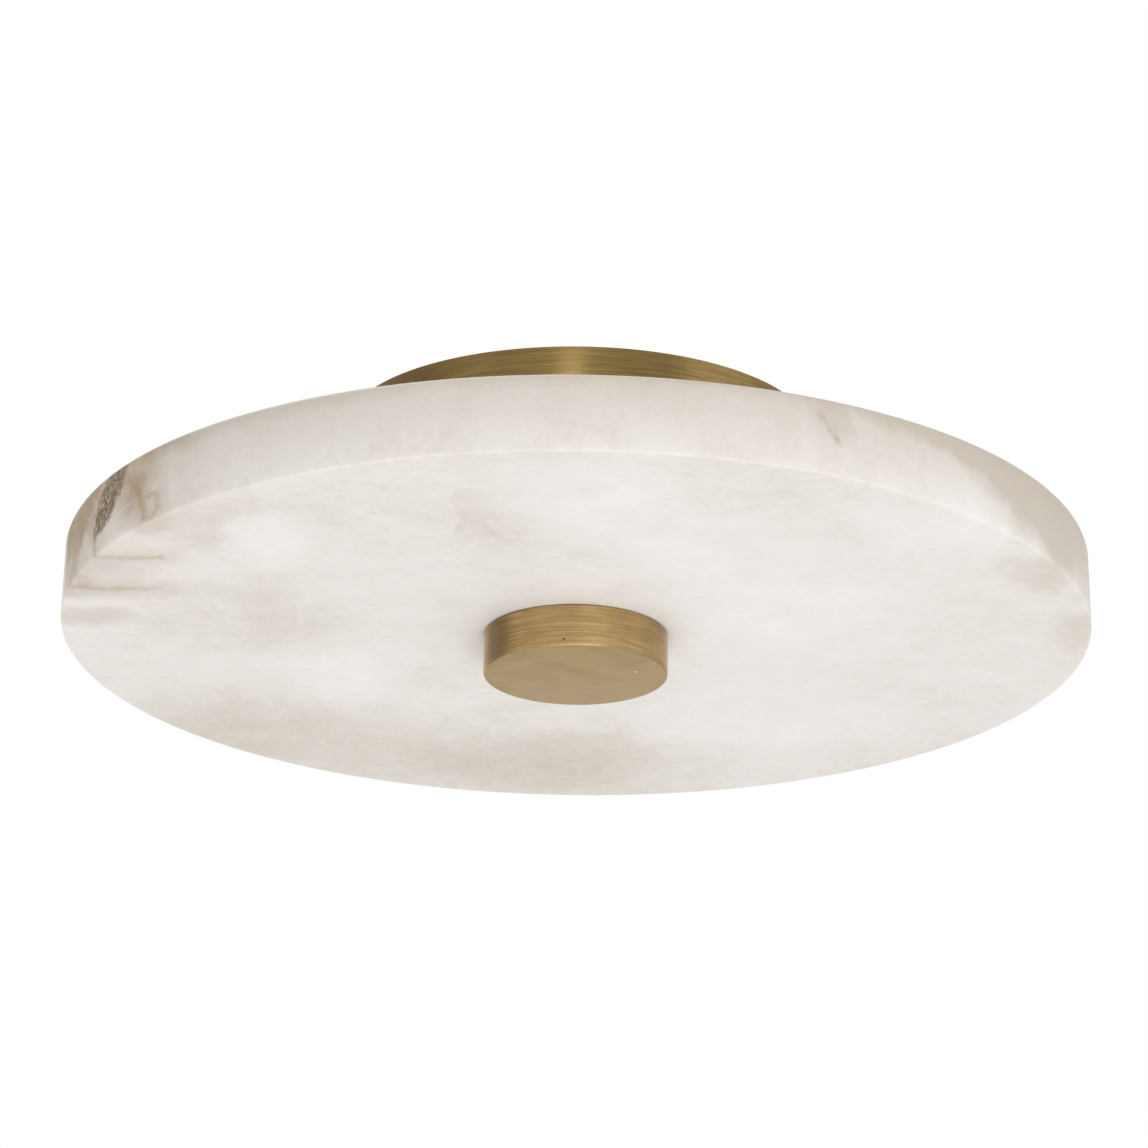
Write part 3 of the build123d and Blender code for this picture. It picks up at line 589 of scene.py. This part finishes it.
tape = grained("transformer_tape", (222, 178, 50), (196, 150, 32), 0.38, 400.0, 0.00002)
sleeve_black = grained("capacitor_black", (46, 46, 54), (30, 30, 36), 0.28, 400.0, 0.00001)
package_white = grained(
    "diode_package", (238, 238, 233), (228, 227, 220), 0.45, 900.0, 0.00001, edge=FINE_EDGE
)
phosphor = grained("diode_yellow", (246, 215, 112), (236, 196, 84), 0.35, 2500.0, 0.00001, edge=FINE_EDGE)
INSULATION = {
    "line_lead": ("brown_insulation", (110, 66, 40), (94, 54, 32)),
    "neutral_lead": ("blue_insulation", (42, 108, 184), (32, 90, 162)),
    "bond_lead": ("green_insulation", (62, 158, 70), (46, 136, 56)),
    "low_voltage_lead_1": ("red_insulation", (186, 36, 34), (160, 26, 26)),
    "low_voltage_lead_2": ("black_insulation", (44, 44, 46), (30, 30, 32)),
}
insulation = {lead: grained(*named, 0.40, 600.0, 0.00001) for lead, named in INSULATION.items()}
LIGHT_BOARD_RINGS = [
    mm(INNER_RING, 1.0),
    mm(INNER_RING + 5.0, 0.6),
    mm(OUTER_RING, 1.0),
    mm(OUTER_RING + 5.0, 0.6),
]
DRIVER_BOARD_RINGS = [mm(44.0, 0.8), mm(50.0, 0.8)]
white_board = circuit_board("white_board", (240, 241, 239), (226, 229, 225), LIGHT_BOARD_RINGS)
green_board = circuit_board("green_board", (30, 104, 58), (52, 128, 76), DRIVER_BOARD_RINGS)


# Meshes. How many segments go round them, and the angles in degrees over which their edges stay sharp
STONE_SEGMENTS = 512
SHEET_SEGMENTS = 288
CAP_SEGMENTS = 256
SCREW_SEGMENTS = 40
BUSH_SEGMENTS = 32
SHARP = 40.0
THREAD_SHARP = 60.0
SCREW_SHARP = 35.0
NUT_SHARP = 15.0


def placed(name, data):
    """A new object in the scene."""
    made = bpy.data.objects.new(name, data)
    bpy.context.scene.collection.objects.link(made)
    return made


def mesh_from(work):
    bmesh.ops.recalc_face_normals(work, faces=work.faces)
    mesh = bpy.data.meshes.new("mesh")
    work.to_mesh(mesh)
    work.free()
    return mesh


def piece(name, mesh, finishes, body, stands_for=None, sharp=SHARP):
    """A smooth object that rides on a body and may stand for a CAD node."""
    for finish in finishes:
        mesh.materials.append(finish)
    mesh.name = name
    mesh.shade_smooth()
    mesh.set_sharp_from_angle(angle=radians(sharp))
    made = placed(name, mesh)
    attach(made, body)
    if stands_for:
        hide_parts(stands_for)
    return made


def skin(work, loops, closed):
    """Quads between loops of vertices, which run round together, and triangles where a loop is one vertex."""
    following = loops[1:] + loops[:1] if closed else loops[1:]
    for loop, other in zip(loops, following):
        count = max(len(loop), len(other))
        for index in range(count if count > 1 else 0):
            further = (index + 1) % count
            near = [loop[index % len(loop)], loop[further % len(loop)]]
            far = [other[further % len(other)], other[index % len(other)]]
            work.faces.new(list(dict.fromkeys(near + far)))


def rounded(outline, steps):
    """The points of a closed outline of (radius, level, rounding), with an arc at each rounded corner."""
    points = []
    for index, (radius, level, rounding) in enumerate(outline):
        corner = Vector((radius, level))
        if not rounding:
            points.append(corner)
            continue
        before = (Vector(outline[index - 1][:2]) - corner).normalized()
        after = (Vector(outline[(index + 1) % len(outline)][:2]) - corner).normalized()
        half = acos(max(-1.0, min(1.0, before.dot(after)))) / 2
        centre = corner + (before + after).normalized() * rounding / sin(half)
        first = corner + before * rounding / tan(half) - centre
        last = corner + after * rounding / tan(half) - centre
        swing = first.angle_signed(last)
        points += [centre + Matrix.Rotation(-swing * step / steps, 2) @ first for step in range(steps + 1)]
    return points


def turned(outline, segments, steps=5):
    """The mesh of a turned piece from its closed half section."""
    work = bmesh.new()
    loops = []
    for point in rounded(outline, steps):
        turns = [2 * pi * index / segments for index in range(segments if point.x > 1e-7 else 1)]
        loops.append([work.verts.new((point.x * cos(turn), point.x * sin(turn), point.y)) for turn in turns])
    skin(work, loops, closed=True)
    return mesh_from(work)


def cut(mesh, cutters):
    """mesh, less each of the cutters."""
    holder = placed("holder", mesh)
    tools = [placed("tool", cutter) for cutter in cutters]
    for tool in tools:
        modifier = holder.modifiers.new("cut", "BOOLEAN")
        modifier.operation = "DIFFERENCE"
        modifier.solver = "EXACT"
        modifier.object = tool
    result = bpy.data.meshes.new_from_object(holder.evaluated_get(bpy.context.evaluated_depsgraph_get()))
    for spent in [holder, *tools]:
        bpy.data.objects.remove(spent)
    return result


def drill(x, y, radius, low, high):
    """A cutter for a round hole."""
    mesh = turned([(0, low, 0), (radius, low, 0), (radius, high, 0), (0, high, 0)], SCREW_SEGMENTS)
    mesh.transform(Matrix.Translation((x, y, 0)))
    return mesh


def block(width, depth, low, high):
    work = bmesh.new()
    bmesh.ops.create_cube(work, size=1.0)
    bmesh.ops.scale(work, vec=(width, depth, high - low), verts=work.verts)
    bmesh.ops.translate(work, vec=(0, 0, (low + high) / 2), verts=work.verts)
    return mesh_from(work)


def copies(mesh, places):
    """One mesh of copies of another, one by each transform."""
    work = bmesh.new()
    for place in places:
        done = len(work.verts)
        work.from_mesh(mesh)
        bmesh.ops.transform(work, matrix=place, verts=work.verts[:][done:])
    return mesh_from(work)


def around(radius, count, start):
    """Places on a circle about the rod, as transforms."""
    turns = [radians(start + 360 * index / count) for index in range(count)]
    return [Matrix.Rotation(turn, 4, "Z") @ Matrix.Translation((radius, 0, 0)) for turn in turns]


# The shade, hollowed above, with a raised seat round its centre hole
rim_radius = shade_radius - SHADE_TAPER
hollow_radius = rim_radius - SHADE_WALL
floor_top = shade_bottom + SHADE_FLOOR
shade_section = [
    (bush_radius, shade_bottom, 0.4 * MM),
    (shade_radius, shade_bottom, 0.6 * MM),
    (rim_radius, shade_top, 3.5 * MM),
    (hollow_radius, shade_top, 1.5 * MM),
    (hollow_radius, floor_top, 8.0 * MM),
    (SEAT_RADIUS, floor_top, 1.5 * MM),
    (SEAT_RADIUS, seat_top, 0.4 * MM),
    (bush_radius, seat_top, 0.4 * MM),
]
piece("shade_stone", turned(shade_section, STONE_SEGMENTS, 8), [stone_finish], "shade", "alabaster_shade")

# The cap, a drum with a rebate for the felt, a pocket and a bored boss
pocket_radius = felt_radius - CAP_LEDGE_WIDTH
cap_section = [
    (0, cap_bottom, 0),
    (cap_radius, cap_bottom, 0.6 * MM),
    (cap_radius, cap_top, 0.35 * MM),
    (felt_radius, cap_top, 0.2 * MM),
    (felt_radius, cap_ledge, 0),
    (pocket_radius, cap_ledge, 0.3 * MM),
    (pocket_radius, cap_floor, 0.8 * MM),
    (CAP_BOSS_RADIUS, cap_floor, 0.8 * MM),
    (CAP_BOSS_RADIUS, cap_ledge, 0.4 * MM),
    (insert_radius, cap_ledge, 0.2 * MM),
    (insert_radius, cap_floor, 0),
    (0, cap_floor, 0),
]
cap_mesh = turned(cap_section, CAP_SEGMENTS)
# The face has its own finish
for polygon in cap_mesh.polygons:
    polygon.material_index = int(polygon.center.z < cap_bottom + 0.01 * MM)
piece("cap_drum", cap_mesh, [cap_brass, cap_face_brass], "cap", "brass_cap")

# Places of the fixings, in plan
GROMMET = mm(30.0, 0.0)
GROMMET_GROOVE = 5.0 * MM
BOND = mm(40.0, -16.0)
DRIVER_SCREWS = [mm(-42.0, 44.0), mm(42.0, 44.0)]
BLOCK_SCREWS = [mm(-5.5, -45.0), mm(5.5, -45.0)]
GROUND_SCREW = mm(16.5, 0.0)
# Circles of screws, as radius, count and the angle of the first
TRAY_SCREW_CIRCLE = (27.0 * MM, 3, 180)
BOARD_SCREW_CIRCLE = (107.0 * MM, 6, 30)
tray_screw_places = [place.translation for place in around(*TRAY_SCREW_CIRCLE)]
board_screw_places = [place.translation for place in around(*BOARD_SCREW_CIRCLE)]


def holes(places, radius, low, high):
    return [drill(place[0], place[1], radius, low - MM, high + MM) for place in places]


# The canopy and the tray, spun from sheet and pierced
canopy_floor = canopy_bottom + CANOPY_WALL
canopy_section = [
    (ROD_HOLE_RADIUS, canopy_bottom, 0),
    (canopy_radius, canopy_bottom, 3.0 * MM),
    (canopy_radius, canopy_top, 0.3 * MM),
    (canopy_radius - CANOPY_WALL, canopy_top, 0.3 * MM),
    (canopy_radius - CANOPY_WALL, canopy_floor, 1.8 * MM),
    (ROD_HOLE_RADIUS, canopy_floor, 0),
]
canopy_holes = [
    *holes([GROMMET], GROMMET_GROOVE, canopy_bottom, canopy_floor),
    *holes([BOND, *tray_screw_places], LARGE_SHANK, canopy_bottom, canopy_floor),
    *holes([*DRIVER_SCREWS, *BLOCK_SCREWS], SMALL_SHANK, canopy_bottom, canopy_floor),
]
canopy_mesh = cut(turned(canopy_section, SHEET_SEGMENTS), canopy_holes)
piece("canopy_pan", canopy_mesh, [canopy_brass], "canopy_unit", "canopy")

tray_section = [
    (ROD_HOLE_RADIUS, canopy_bottom, 0),
    (ROD_HOLE_RADIUS, tray_bottom, 0),
    (tray_radius - TRAY_SHEET, tray_bottom, 1.0 * MM),
    (tray_radius - TRAY_SHEET, tray_rim, 0.3 * MM),
    (tray_radius, tray_rim, 0.3 * MM),
    (tray_radius, canopy_bottom, 2.2 * MM),
]
tray_holes = [
    *holes([GROMMET], GROMMET_GROOVE, tray_bottom, canopy_bottom),
    *holes(tray_screw_places, LARGE_SHANK, tray_bottom, canopy_bottom),
    *holes(board_screw_places, SMALL_SHANK, tray_bottom, canopy_bottom),
]
tray_mesh = cut(turned(tray_section, SHEET_SEGMENTS), tray_holes)
piece("tray_dish", tray_mesh, [aluminium], "canopy_unit", "light_tray")

# The rod, with its thread
THREAD_PITCH = 1.0 * MM
THREAD_DEPTH = 0.6 * MM
THREAD_CHAMFER = 0.9 * MM
THREAD_PROFILE = [(0.0, 1.0), (0.15, 1.0), (0.5, 0.0), (0.65, 0.0)]
THREAD_SEGMENTS = 40
THREAD_PLAY = 0.02 * MM


def threaded(radius, low, high):
    """A rod with a helical thread, chamfered at its ends."""
    work = bmesh.new()
    columns = []
    for segment in range(THREAD_SEGMENTS):
        share = segment / THREAD_SEGMENTS
        column = []
        for turn in range(-1, ceil((high - low) / THREAD_PITCH) + 1):
            for offset, depth in THREAD_PROFILE:
                level = min(high, max(low, low + (turn + share + offset) * THREAD_PITCH))
                chamfered = radius - THREAD_CHAMFER + min(level - low, high - level)
                out = min(radius - depth * THREAD_DEPTH, chamfered)
                column.append(work.verts.new((out * cos(2 * pi * share), out * sin(2 * pi * share), level)))
        columns.append(column)
    for column, following in zip(columns, columns[1:] + [columns[0][len(THREAD_PROFILE):]]):
        for row in range(len(following) - 1):
            work.faces.new((column[row], following[row], following[row + 1], column[row + 1]))
    bmesh.ops.remove_doubles(work, verts=work.verts, dist=1e-7)
    bmesh.ops.delete(work, geom=[vert for vert in work.verts if not vert.link_faces], context="VERTS")
    bmesh.ops.holes_fill(work, edges=[edge for edge in work.edges if edge.is_boundary], sides=0)
    return mesh_from(work)


rod_mesh = threaded(rod_radius - THREAD_PLAY, rod_bottom, rod_top)
piece("rod_thread", rod_mesh, [zinc], "canopy_unit", "threaded_rod", sharp=THREAD_SHARP)

# The two nuts on the rod, with their corners turned off
NUT_HALF_FLATS = 7.0 * MM
NUT_FACE_RADIUS = 6.6 * MM
NUT_SLOPE = tan(radians(30))
NUT_SEGMENTS = 96


def hex_nut(low, high):
    work = bmesh.new()
    loops = [[] for _ in range(6)]
    for index in range(NUT_SEGMENTS):
        turn = 2 * pi * index / NUT_SEGMENTS
        out = NUT_HALF_FLATS / cos(turn % (pi / 3) - pi / 6)
        drop = (out - NUT_FACE_RADIUS) * NUT_SLOPE
        section = [
            (rod_radius, low),
            (NUT_FACE_RADIUS, low),
            (out, low + drop),
            (out, high - drop),
            (NUT_FACE_RADIUS, high),
            (rod_radius, high),
        ]
        for loop, (radius, level) in zip(loops, section):
            loop.append(work.verts.new((radius * cos(turn), radius * sin(turn), level)))
    skin(work, loops, closed=True)
    return mesh_from(work)


for nut in ("strap_lock_nut", "tray_nut"):
    piece(nut + "_turned", hex_nut(*reach(nut)[1:]), [zinc], "canopy_unit", nut, sharp=NUT_SHARP)

# Screws: slotted pan heads, each turned to its own angle
SLOT_WIDTH = 0.9 * MM
SLOT_DEPTH = 1.1 * MM
SCREW_TURN = radians(137.5)


def slotted(shank, head, height, length):
    """A screw with the underside of its head at level 0 and its shank down."""
    section = [
        (0, -length, 0),
        (shank, -length, 0.4 * shank),
        (shank, 0, 0),
        (head, 0, 0.15 * height),
        (head, height, 0.6 * height),
        (0, height, 0),
    ]
    slot_cutter = block(4 * head, SLOT_WIDTH, height - SLOT_DEPTH, height + MM)
    return cut(turned(section, SCREW_SEGMENTS, 4), [slot_cutter])


def driven(places, level, up=True):
    """Transforms that put screws at places in plan, with their heads above the level or below it."""
    flip = Matrix.Identity(4) if up else Matrix.Rotation(pi, 4, "X")
    turns = [Matrix.Rotation(SCREW_TURN * index, 4, "Z") for index in range(len(places))]
    return [Matrix.Translation((*place[:2], level)) @ flip @ turn for place, turn in zip(places, turns)]


small = (SMALL_SHANK, SMALL_HEAD, SMALL_HEIGHT)
large = (LARGE_SHANK, LARGE_HEAD, LARGE_HEIGHT)
for node, sizes, places, up, finish in (
    ("driver_screws", small, DRIVER_SCREWS, True, zinc),
    ("block_screws", small, BLOCK_SCREWS, True, zinc),
    ("bond_screw", large, [BOND], True, zinc),
    ("tray_screws", large, tray_screw_places, False, zinc),
    ("board_screws", small, board_screw_places, False, zinc),
    ("ground_screw", large, [GROUND_SCREW], False, green_steel),
):
    low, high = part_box(node)
    seat = high.z - sizes[2] if up else low.z + sizes[2]
    length = seat - low.z if up else high.z - seat
    screws_mesh = copies(slotted(*sizes, length), driven(places, seat, up))
    piece(node + "_turned", screws_mesh, [finish], "canopy_unit", node, sharp=SCREW_SHARP)

# Clamp screws of the terminals
CLAMP_RADIUS = 2.0 * MM
CLAMP_LINE, CLAMP_OFFSET, POLE_PITCH = -45.0, 3.2, 11.0
CLAMP_PLACES = [
    mm(pole * POLE_PITCH, CLAMP_LINE + side * CLAMP_OFFSET) for pole in (-1, 0, 1) for side in (-1, 1)
]
clamp_low, clamp_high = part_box("terminal_screws")
clamp_depth = clamp_high.z - clamp_low.z
clamp_section = [
    (0, -clamp_depth, 0),
    (CLAMP_RADIUS, -clamp_depth, 0.3 * MM),
    (CLAMP_RADIUS, 0, 0.3 * MM),
    (0, 0, 0),
]
clamp_slot = block(4 * CLAMP_RADIUS, SLOT_WIDTH, -SLOT_DEPTH, MM)
clamp_screw = cut(turned(clamp_section, BUSH_SEGMENTS, 3), [clamp_slot])
clamp_mesh = copies(clamp_screw, driven(CLAMP_PLACES, clamp_high.z))
piece("terminal_screws_turned", clamp_mesh, [zinc], "canopy_unit", "terminal_screws", sharp=SCREW_SHARP)

# Diodes, each a white package with a sunk window of phosphor, in rings that start half a step from a board
# screw
DIODE_LENGTH, DIODE_WIDTH, DIODE_HEIGHT, DIODE_RIM, DIODE_SINK = mm(3.5, 2.8, 0.8, 0.4, 0.15)
DIODE_RINGS = [(INNER_RING * MM, 18), (OUTER_RING * MM, 30)]
work = bmesh.new()
work.from_mesh(block(DIODE_LENGTH, DIODE_WIDTH, board_bottom - DIODE_HEIGHT, board_bottom))
window = min(work.faces, key=lambda face: face.calc_center_median().z)
bmesh.ops.inset_region(work, faces=[window], thickness=DIODE_RIM)
bmesh.ops.inset_region(work, faces=[window], thickness=DIODE_SINK, depth=-DIODE_SINK)
window.material_index = 1
diode_mesh = mesh_from(work)
diode_places = [
    place
    for radius, count in DIODE_RINGS
    for place in around(radius, count, BOARD_SCREW_CIRCLE[2] + 180 / count)
]
diode_mesh = copies(diode_mesh, diode_places)
piece("diode_rings", diode_mesh, [package_white, phosphor], "canopy_unit", "diodes")

# Leads. Each route is the solid's, in millimetres: straight runs joined by arcs that take up their share of
# the runs
LEAD_LEVEL, BARREL_LEVEL, CONNECTOR_LEVEL = -44.3, -49.9, -58.3
BEND_SHARE = 0.45
MAINS_RADIUS, LOW_VOLTAGE_RADIUS = mm(1.1, 0.8)
ROUTES = {
    "line_lead": [
        (-11, -40, LEAD_LEVEL),
        (-11, -25, LEAD_LEVEL),
        (-50, -9, LEAD_LEVEL + 4),
        (-62, 30, LEAD_LEVEL + 3),
        (-52, 48, LEAD_LEVEL),
        (-38, 48, LEAD_LEVEL),
    ],
    "neutral_lead": [
        (0, -40, LEAD_LEVEL),
        (0, -20, LEAD_LEVEL),
        (-38, -3, LEAD_LEVEL + 5),
        (-52, 25, LEAD_LEVEL + 4),
        (-46, 40, LEAD_LEVEL),
        (-38, 40, LEAD_LEVEL),
    ],
    "bond_lead": [
        (11, -40, LEAD_LEVEL),
        (11, -25, LEAD_LEVEL),
        (15, -18, BARREL_LEVEL + 3),
        (21, -16, BARREL_LEVEL),
        (27.5, -16, BARREL_LEVEL),
    ],
    "low_voltage_lead_1": [
        (38, 48, LEAD_LEVEL),
        (52, 48, LEAD_LEVEL),
        (63, 25, LEAD_LEVEL + 3),
        (54, -1.3, LEAD_LEVEL),
        (30, -1.3, LEAD_LEVEL),
        (30, -1.3, CONNECTOR_LEVEL),
        (44, -1.3, CONNECTOR_LEVEL),
    ],
    "low_voltage_lead_2": [
        (38, 40, LEAD_LEVEL),
        (48, 40, LEAD_LEVEL),
        (56, 21, LEAD_LEVEL + 3),
        (47, 1.3, LEAD_LEVEL),
        (30, 1.3, LEAD_LEVEL),
        (30, 1.3, CONNECTOR_LEVEL),
        (44, 1.3, CONNECTOR_LEVEL),
    ],
}


def bent(route, steps=7):
    """Points along a route, with an arc at each inner point."""
    corners = [Vector(mm(*point)) for point in route]
    points = corners[:1]
    for before, corner, after in zip(corners, corners[1:], corners[2:]):
        run_in, run_out = corner - before, after - corner
        half_turn = run_in.angle(run_out) / 2
        setback = BEND_SHARE * min(run_in.length, run_out.length)
        start, end = corner - run_in.normalized() * setback, corner + run_out.normalized() * setback
        middle = corner + (start + end - 2 * corner).normalized() * setback / sin(half_turn)
        spread = (start - middle).angle(end - middle)
        for step in range(steps + 1):
            share = step / steps
            arm = sin((1 - share) * spread) * (start - middle) + sin(share * spread) * (end - middle)
            points.append(middle + arm / sin(spread))
    return points + corners[-1:]


def tube(points, radius, segments=16):
    """A round tube along points, closed at its ends."""
    work = bmesh.new()
    between = [after - before for before, after in zip(points, points[2:])]
    ways = [points[1] - points[0], *between, points[-1] - points[-2]]
    side = ways[0].orthogonal().normalized()
    loops = []
    for point, way in zip(points, ways):
        side = (side - side.project(way)).normalized()
        up = way.normalized().cross(side)
        turns = [2 * pi * index / segments for index in range(segments)]
        loops.append([work.verts.new(point + radius * (cos(turn) * side + sin(turn) * up)) for turn in turns])
    skin(work, loops, closed=False)
    work.faces.new(loops[0])
    work.faces.new(loops[-1])
    return mesh_from(work)


for node, route in ROUTES.items():
    radius = LOW_VOLTAGE_RADIUS if "voltage" in node else MAINS_RADIUS
    piece(node + "_smooth", tube(bent(route), radius), [insulation[node]], "canopy_unit", node)

# Bushes where the leads enter the driver
BUSH_SECTION = [mm(0.7, 0, 0), mm(2.1, 0, 0), mm(2.1, 0.9, 0.4), mm(0.7, 0.9, 0.2)]
DRIVER_END = 38.0
LEAD_ROWS = (40.0, 48.0)
bush_places = [
    Matrix.Translation(mm(end * DRIVER_END, row, LEAD_LEVEL)) @ Matrix.Rotation(end * pi / 2, 4, "Y")
    for end in (1, -1)
    for row in LEAD_ROWS
]
bushes_mesh = copies(turned(BUSH_SECTION, BUSH_SEGMENTS, 4), bush_places)
piece("driver_inlet_bushes", bushes_mesh, [black_rubber], "canopy_unit")

# Finishes of the CAD nodes that show as they are
for finish, names in (
    (zinc, ["ceiling_strap", "tray_washer", "spacer_sleeve", "bearing_washer", "cap_insert"]),
    (tinned, ["bond_ring_terminal"]),
    (black_rubber, ["cushion_washer", "lead_grommet"]),
    (grey_rubber, ["shade_bush"]),
    (felt, ["felt_ring"]),
    (white_nylon, ["terminal_block", "board_connector"]),
    (driver_white, ["driver_base", "driver_cover"]),
    (green_board, ["driver_board"]),
    (tape, ["driver_transformer"]),
    (sleeve_black, ["driver_capacitors"]),
    (white_board, ["light_board"]),
):
    for name in names:
        for holder in nodes[name].material_slots:
            holder.material = finish

# Camera, at the photograph's viewing angle
CAMERA_PLACE = (0.0, -2.59023, -1.00172)
CAMERA_RIGHT = (0.999933, -0.003602, 0.010994)
CAMERA_UP = (-0.011563, -0.342033, 0.939617)
CAMERA_BACK = (0.000376, -0.939681, -0.342052)
CAMERA_LENS = 221.58
CAMERA_SENSOR = 36.0
CAMERA_REACH = 200.0
camera_data = bpy.data.cameras.new("camera")
camera_data.lens = CAMERA_LENS
camera_data.sensor_width = CAMERA_SENSOR
camera_data.clip_end = CAMERA_REACH
camera = placed("camera", camera_data)
axes = Matrix((CAMERA_RIGHT, CAMERA_UP, CAMERA_BACK)).transposed()
camera.matrix_world = Matrix.Translation(CAMERA_PLACE) @ axes.to_4x4()
bpy.context.scene.camera = camera

# Floor, below every view of the light
FLOOR_LEVEL = -4.2
FLOOR_HALF = 40.0
FLOOR_TONES = [(0.3, srgb(246, 246, 245)), (0.7, srgb(250, 250, 249))]
floor_mesh = bpy.data.meshes.new("floor")
floor_signs = [(-1, -1), (1, -1), (1, 1), (-1, 1)]
floor_corners = [(x * FLOOR_HALF, y * FLOOR_HALF, FLOOR_LEVEL) for x, y in floor_signs]
floor_mesh.from_pydata(floor_corners, [], [(0, 1, 2, 3)])
floor = placed("floor", floor_mesh)
floor_finish = Finish("floor", Roughness=0.9, Specular_IOR_Level=0.1)
floor_tone = floor_finish.noise(floor_finish.place, 0.4, 2.0)
floor_finish.set(Base_Color=floor_finish.shades(floor_tone, *FLOOR_TONES))
floor_mesh.materials.append(floor_finish.material)
floor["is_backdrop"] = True

# Light: an even pale room, white where it is seen, and soft lamps
ROOM_LEVEL = 0.78
WHITE = (1.0, 1.0, 1.0, 1.0)
room = bpy.data.worlds.new("room")
room.use_nodes = True
bpy.context.scene.world = room
sky = Nodes(room.node_tree)
sky.tree.nodes.clear()
soft = sky.add("ShaderNodeBackground", WHITE, ROOM_LEVEL)
white = sky.add("ShaderNodeBackground", WHITE, 1.0)
rays = sky.tree.nodes.new("ShaderNodeLightPath").outputs
mirrored = sky.math("MAXIMUM", rays["Is Glossy Ray"], rays["Is Transmission Ray"])
seen = sky.math("MAXIMUM", rays["Is Camera Ray"], mirrored)
surface = sky.add("ShaderNodeMixShader", seen, soft, white)
sky.feed(sky.tree.nodes.new("ShaderNodeOutputWorld").inputs["Surface"], surface)

# Where the lamps point
MIDDLE = Vector((0.0, 0.0, -0.06))


def lamp(name, place, size, power):
    """A round soft lamp that faces the light and isn't seen itself."""
    light = bpy.data.lights.new(name, "AREA")
    light.shape = "DISK"
    light.size = size
    light.energy = power
    holder = placed(name, light)
    holder.location = place
    holder.rotation_mode = "QUATERNION"
    holder.rotation_quaternion = (MIDDLE - Vector(place)).to_track_quat("-Z", "Y")
    holder.visible_camera = False


lamp("key", (1.0, -2.3, -2.3), 1.3, 24.0)
lamp("fill", (-0.4, -1.0, -3.1), 1.4, 12.0)
lamp("front", (-0.2, -3.1, 0.8), 0.5, 8.0)
lamp("side", (2.8, -0.9, 1.0), 2.2, 9.0)
lamp("top", (-0.6, 0.8, 3.0), 2.0, 17.0)

bpy.context.scene.view_settings.view_transform = "Standard"

sizes = {"cad": [list(corner) for corner in cad_bounds], "visual": [list(corner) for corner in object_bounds()]}
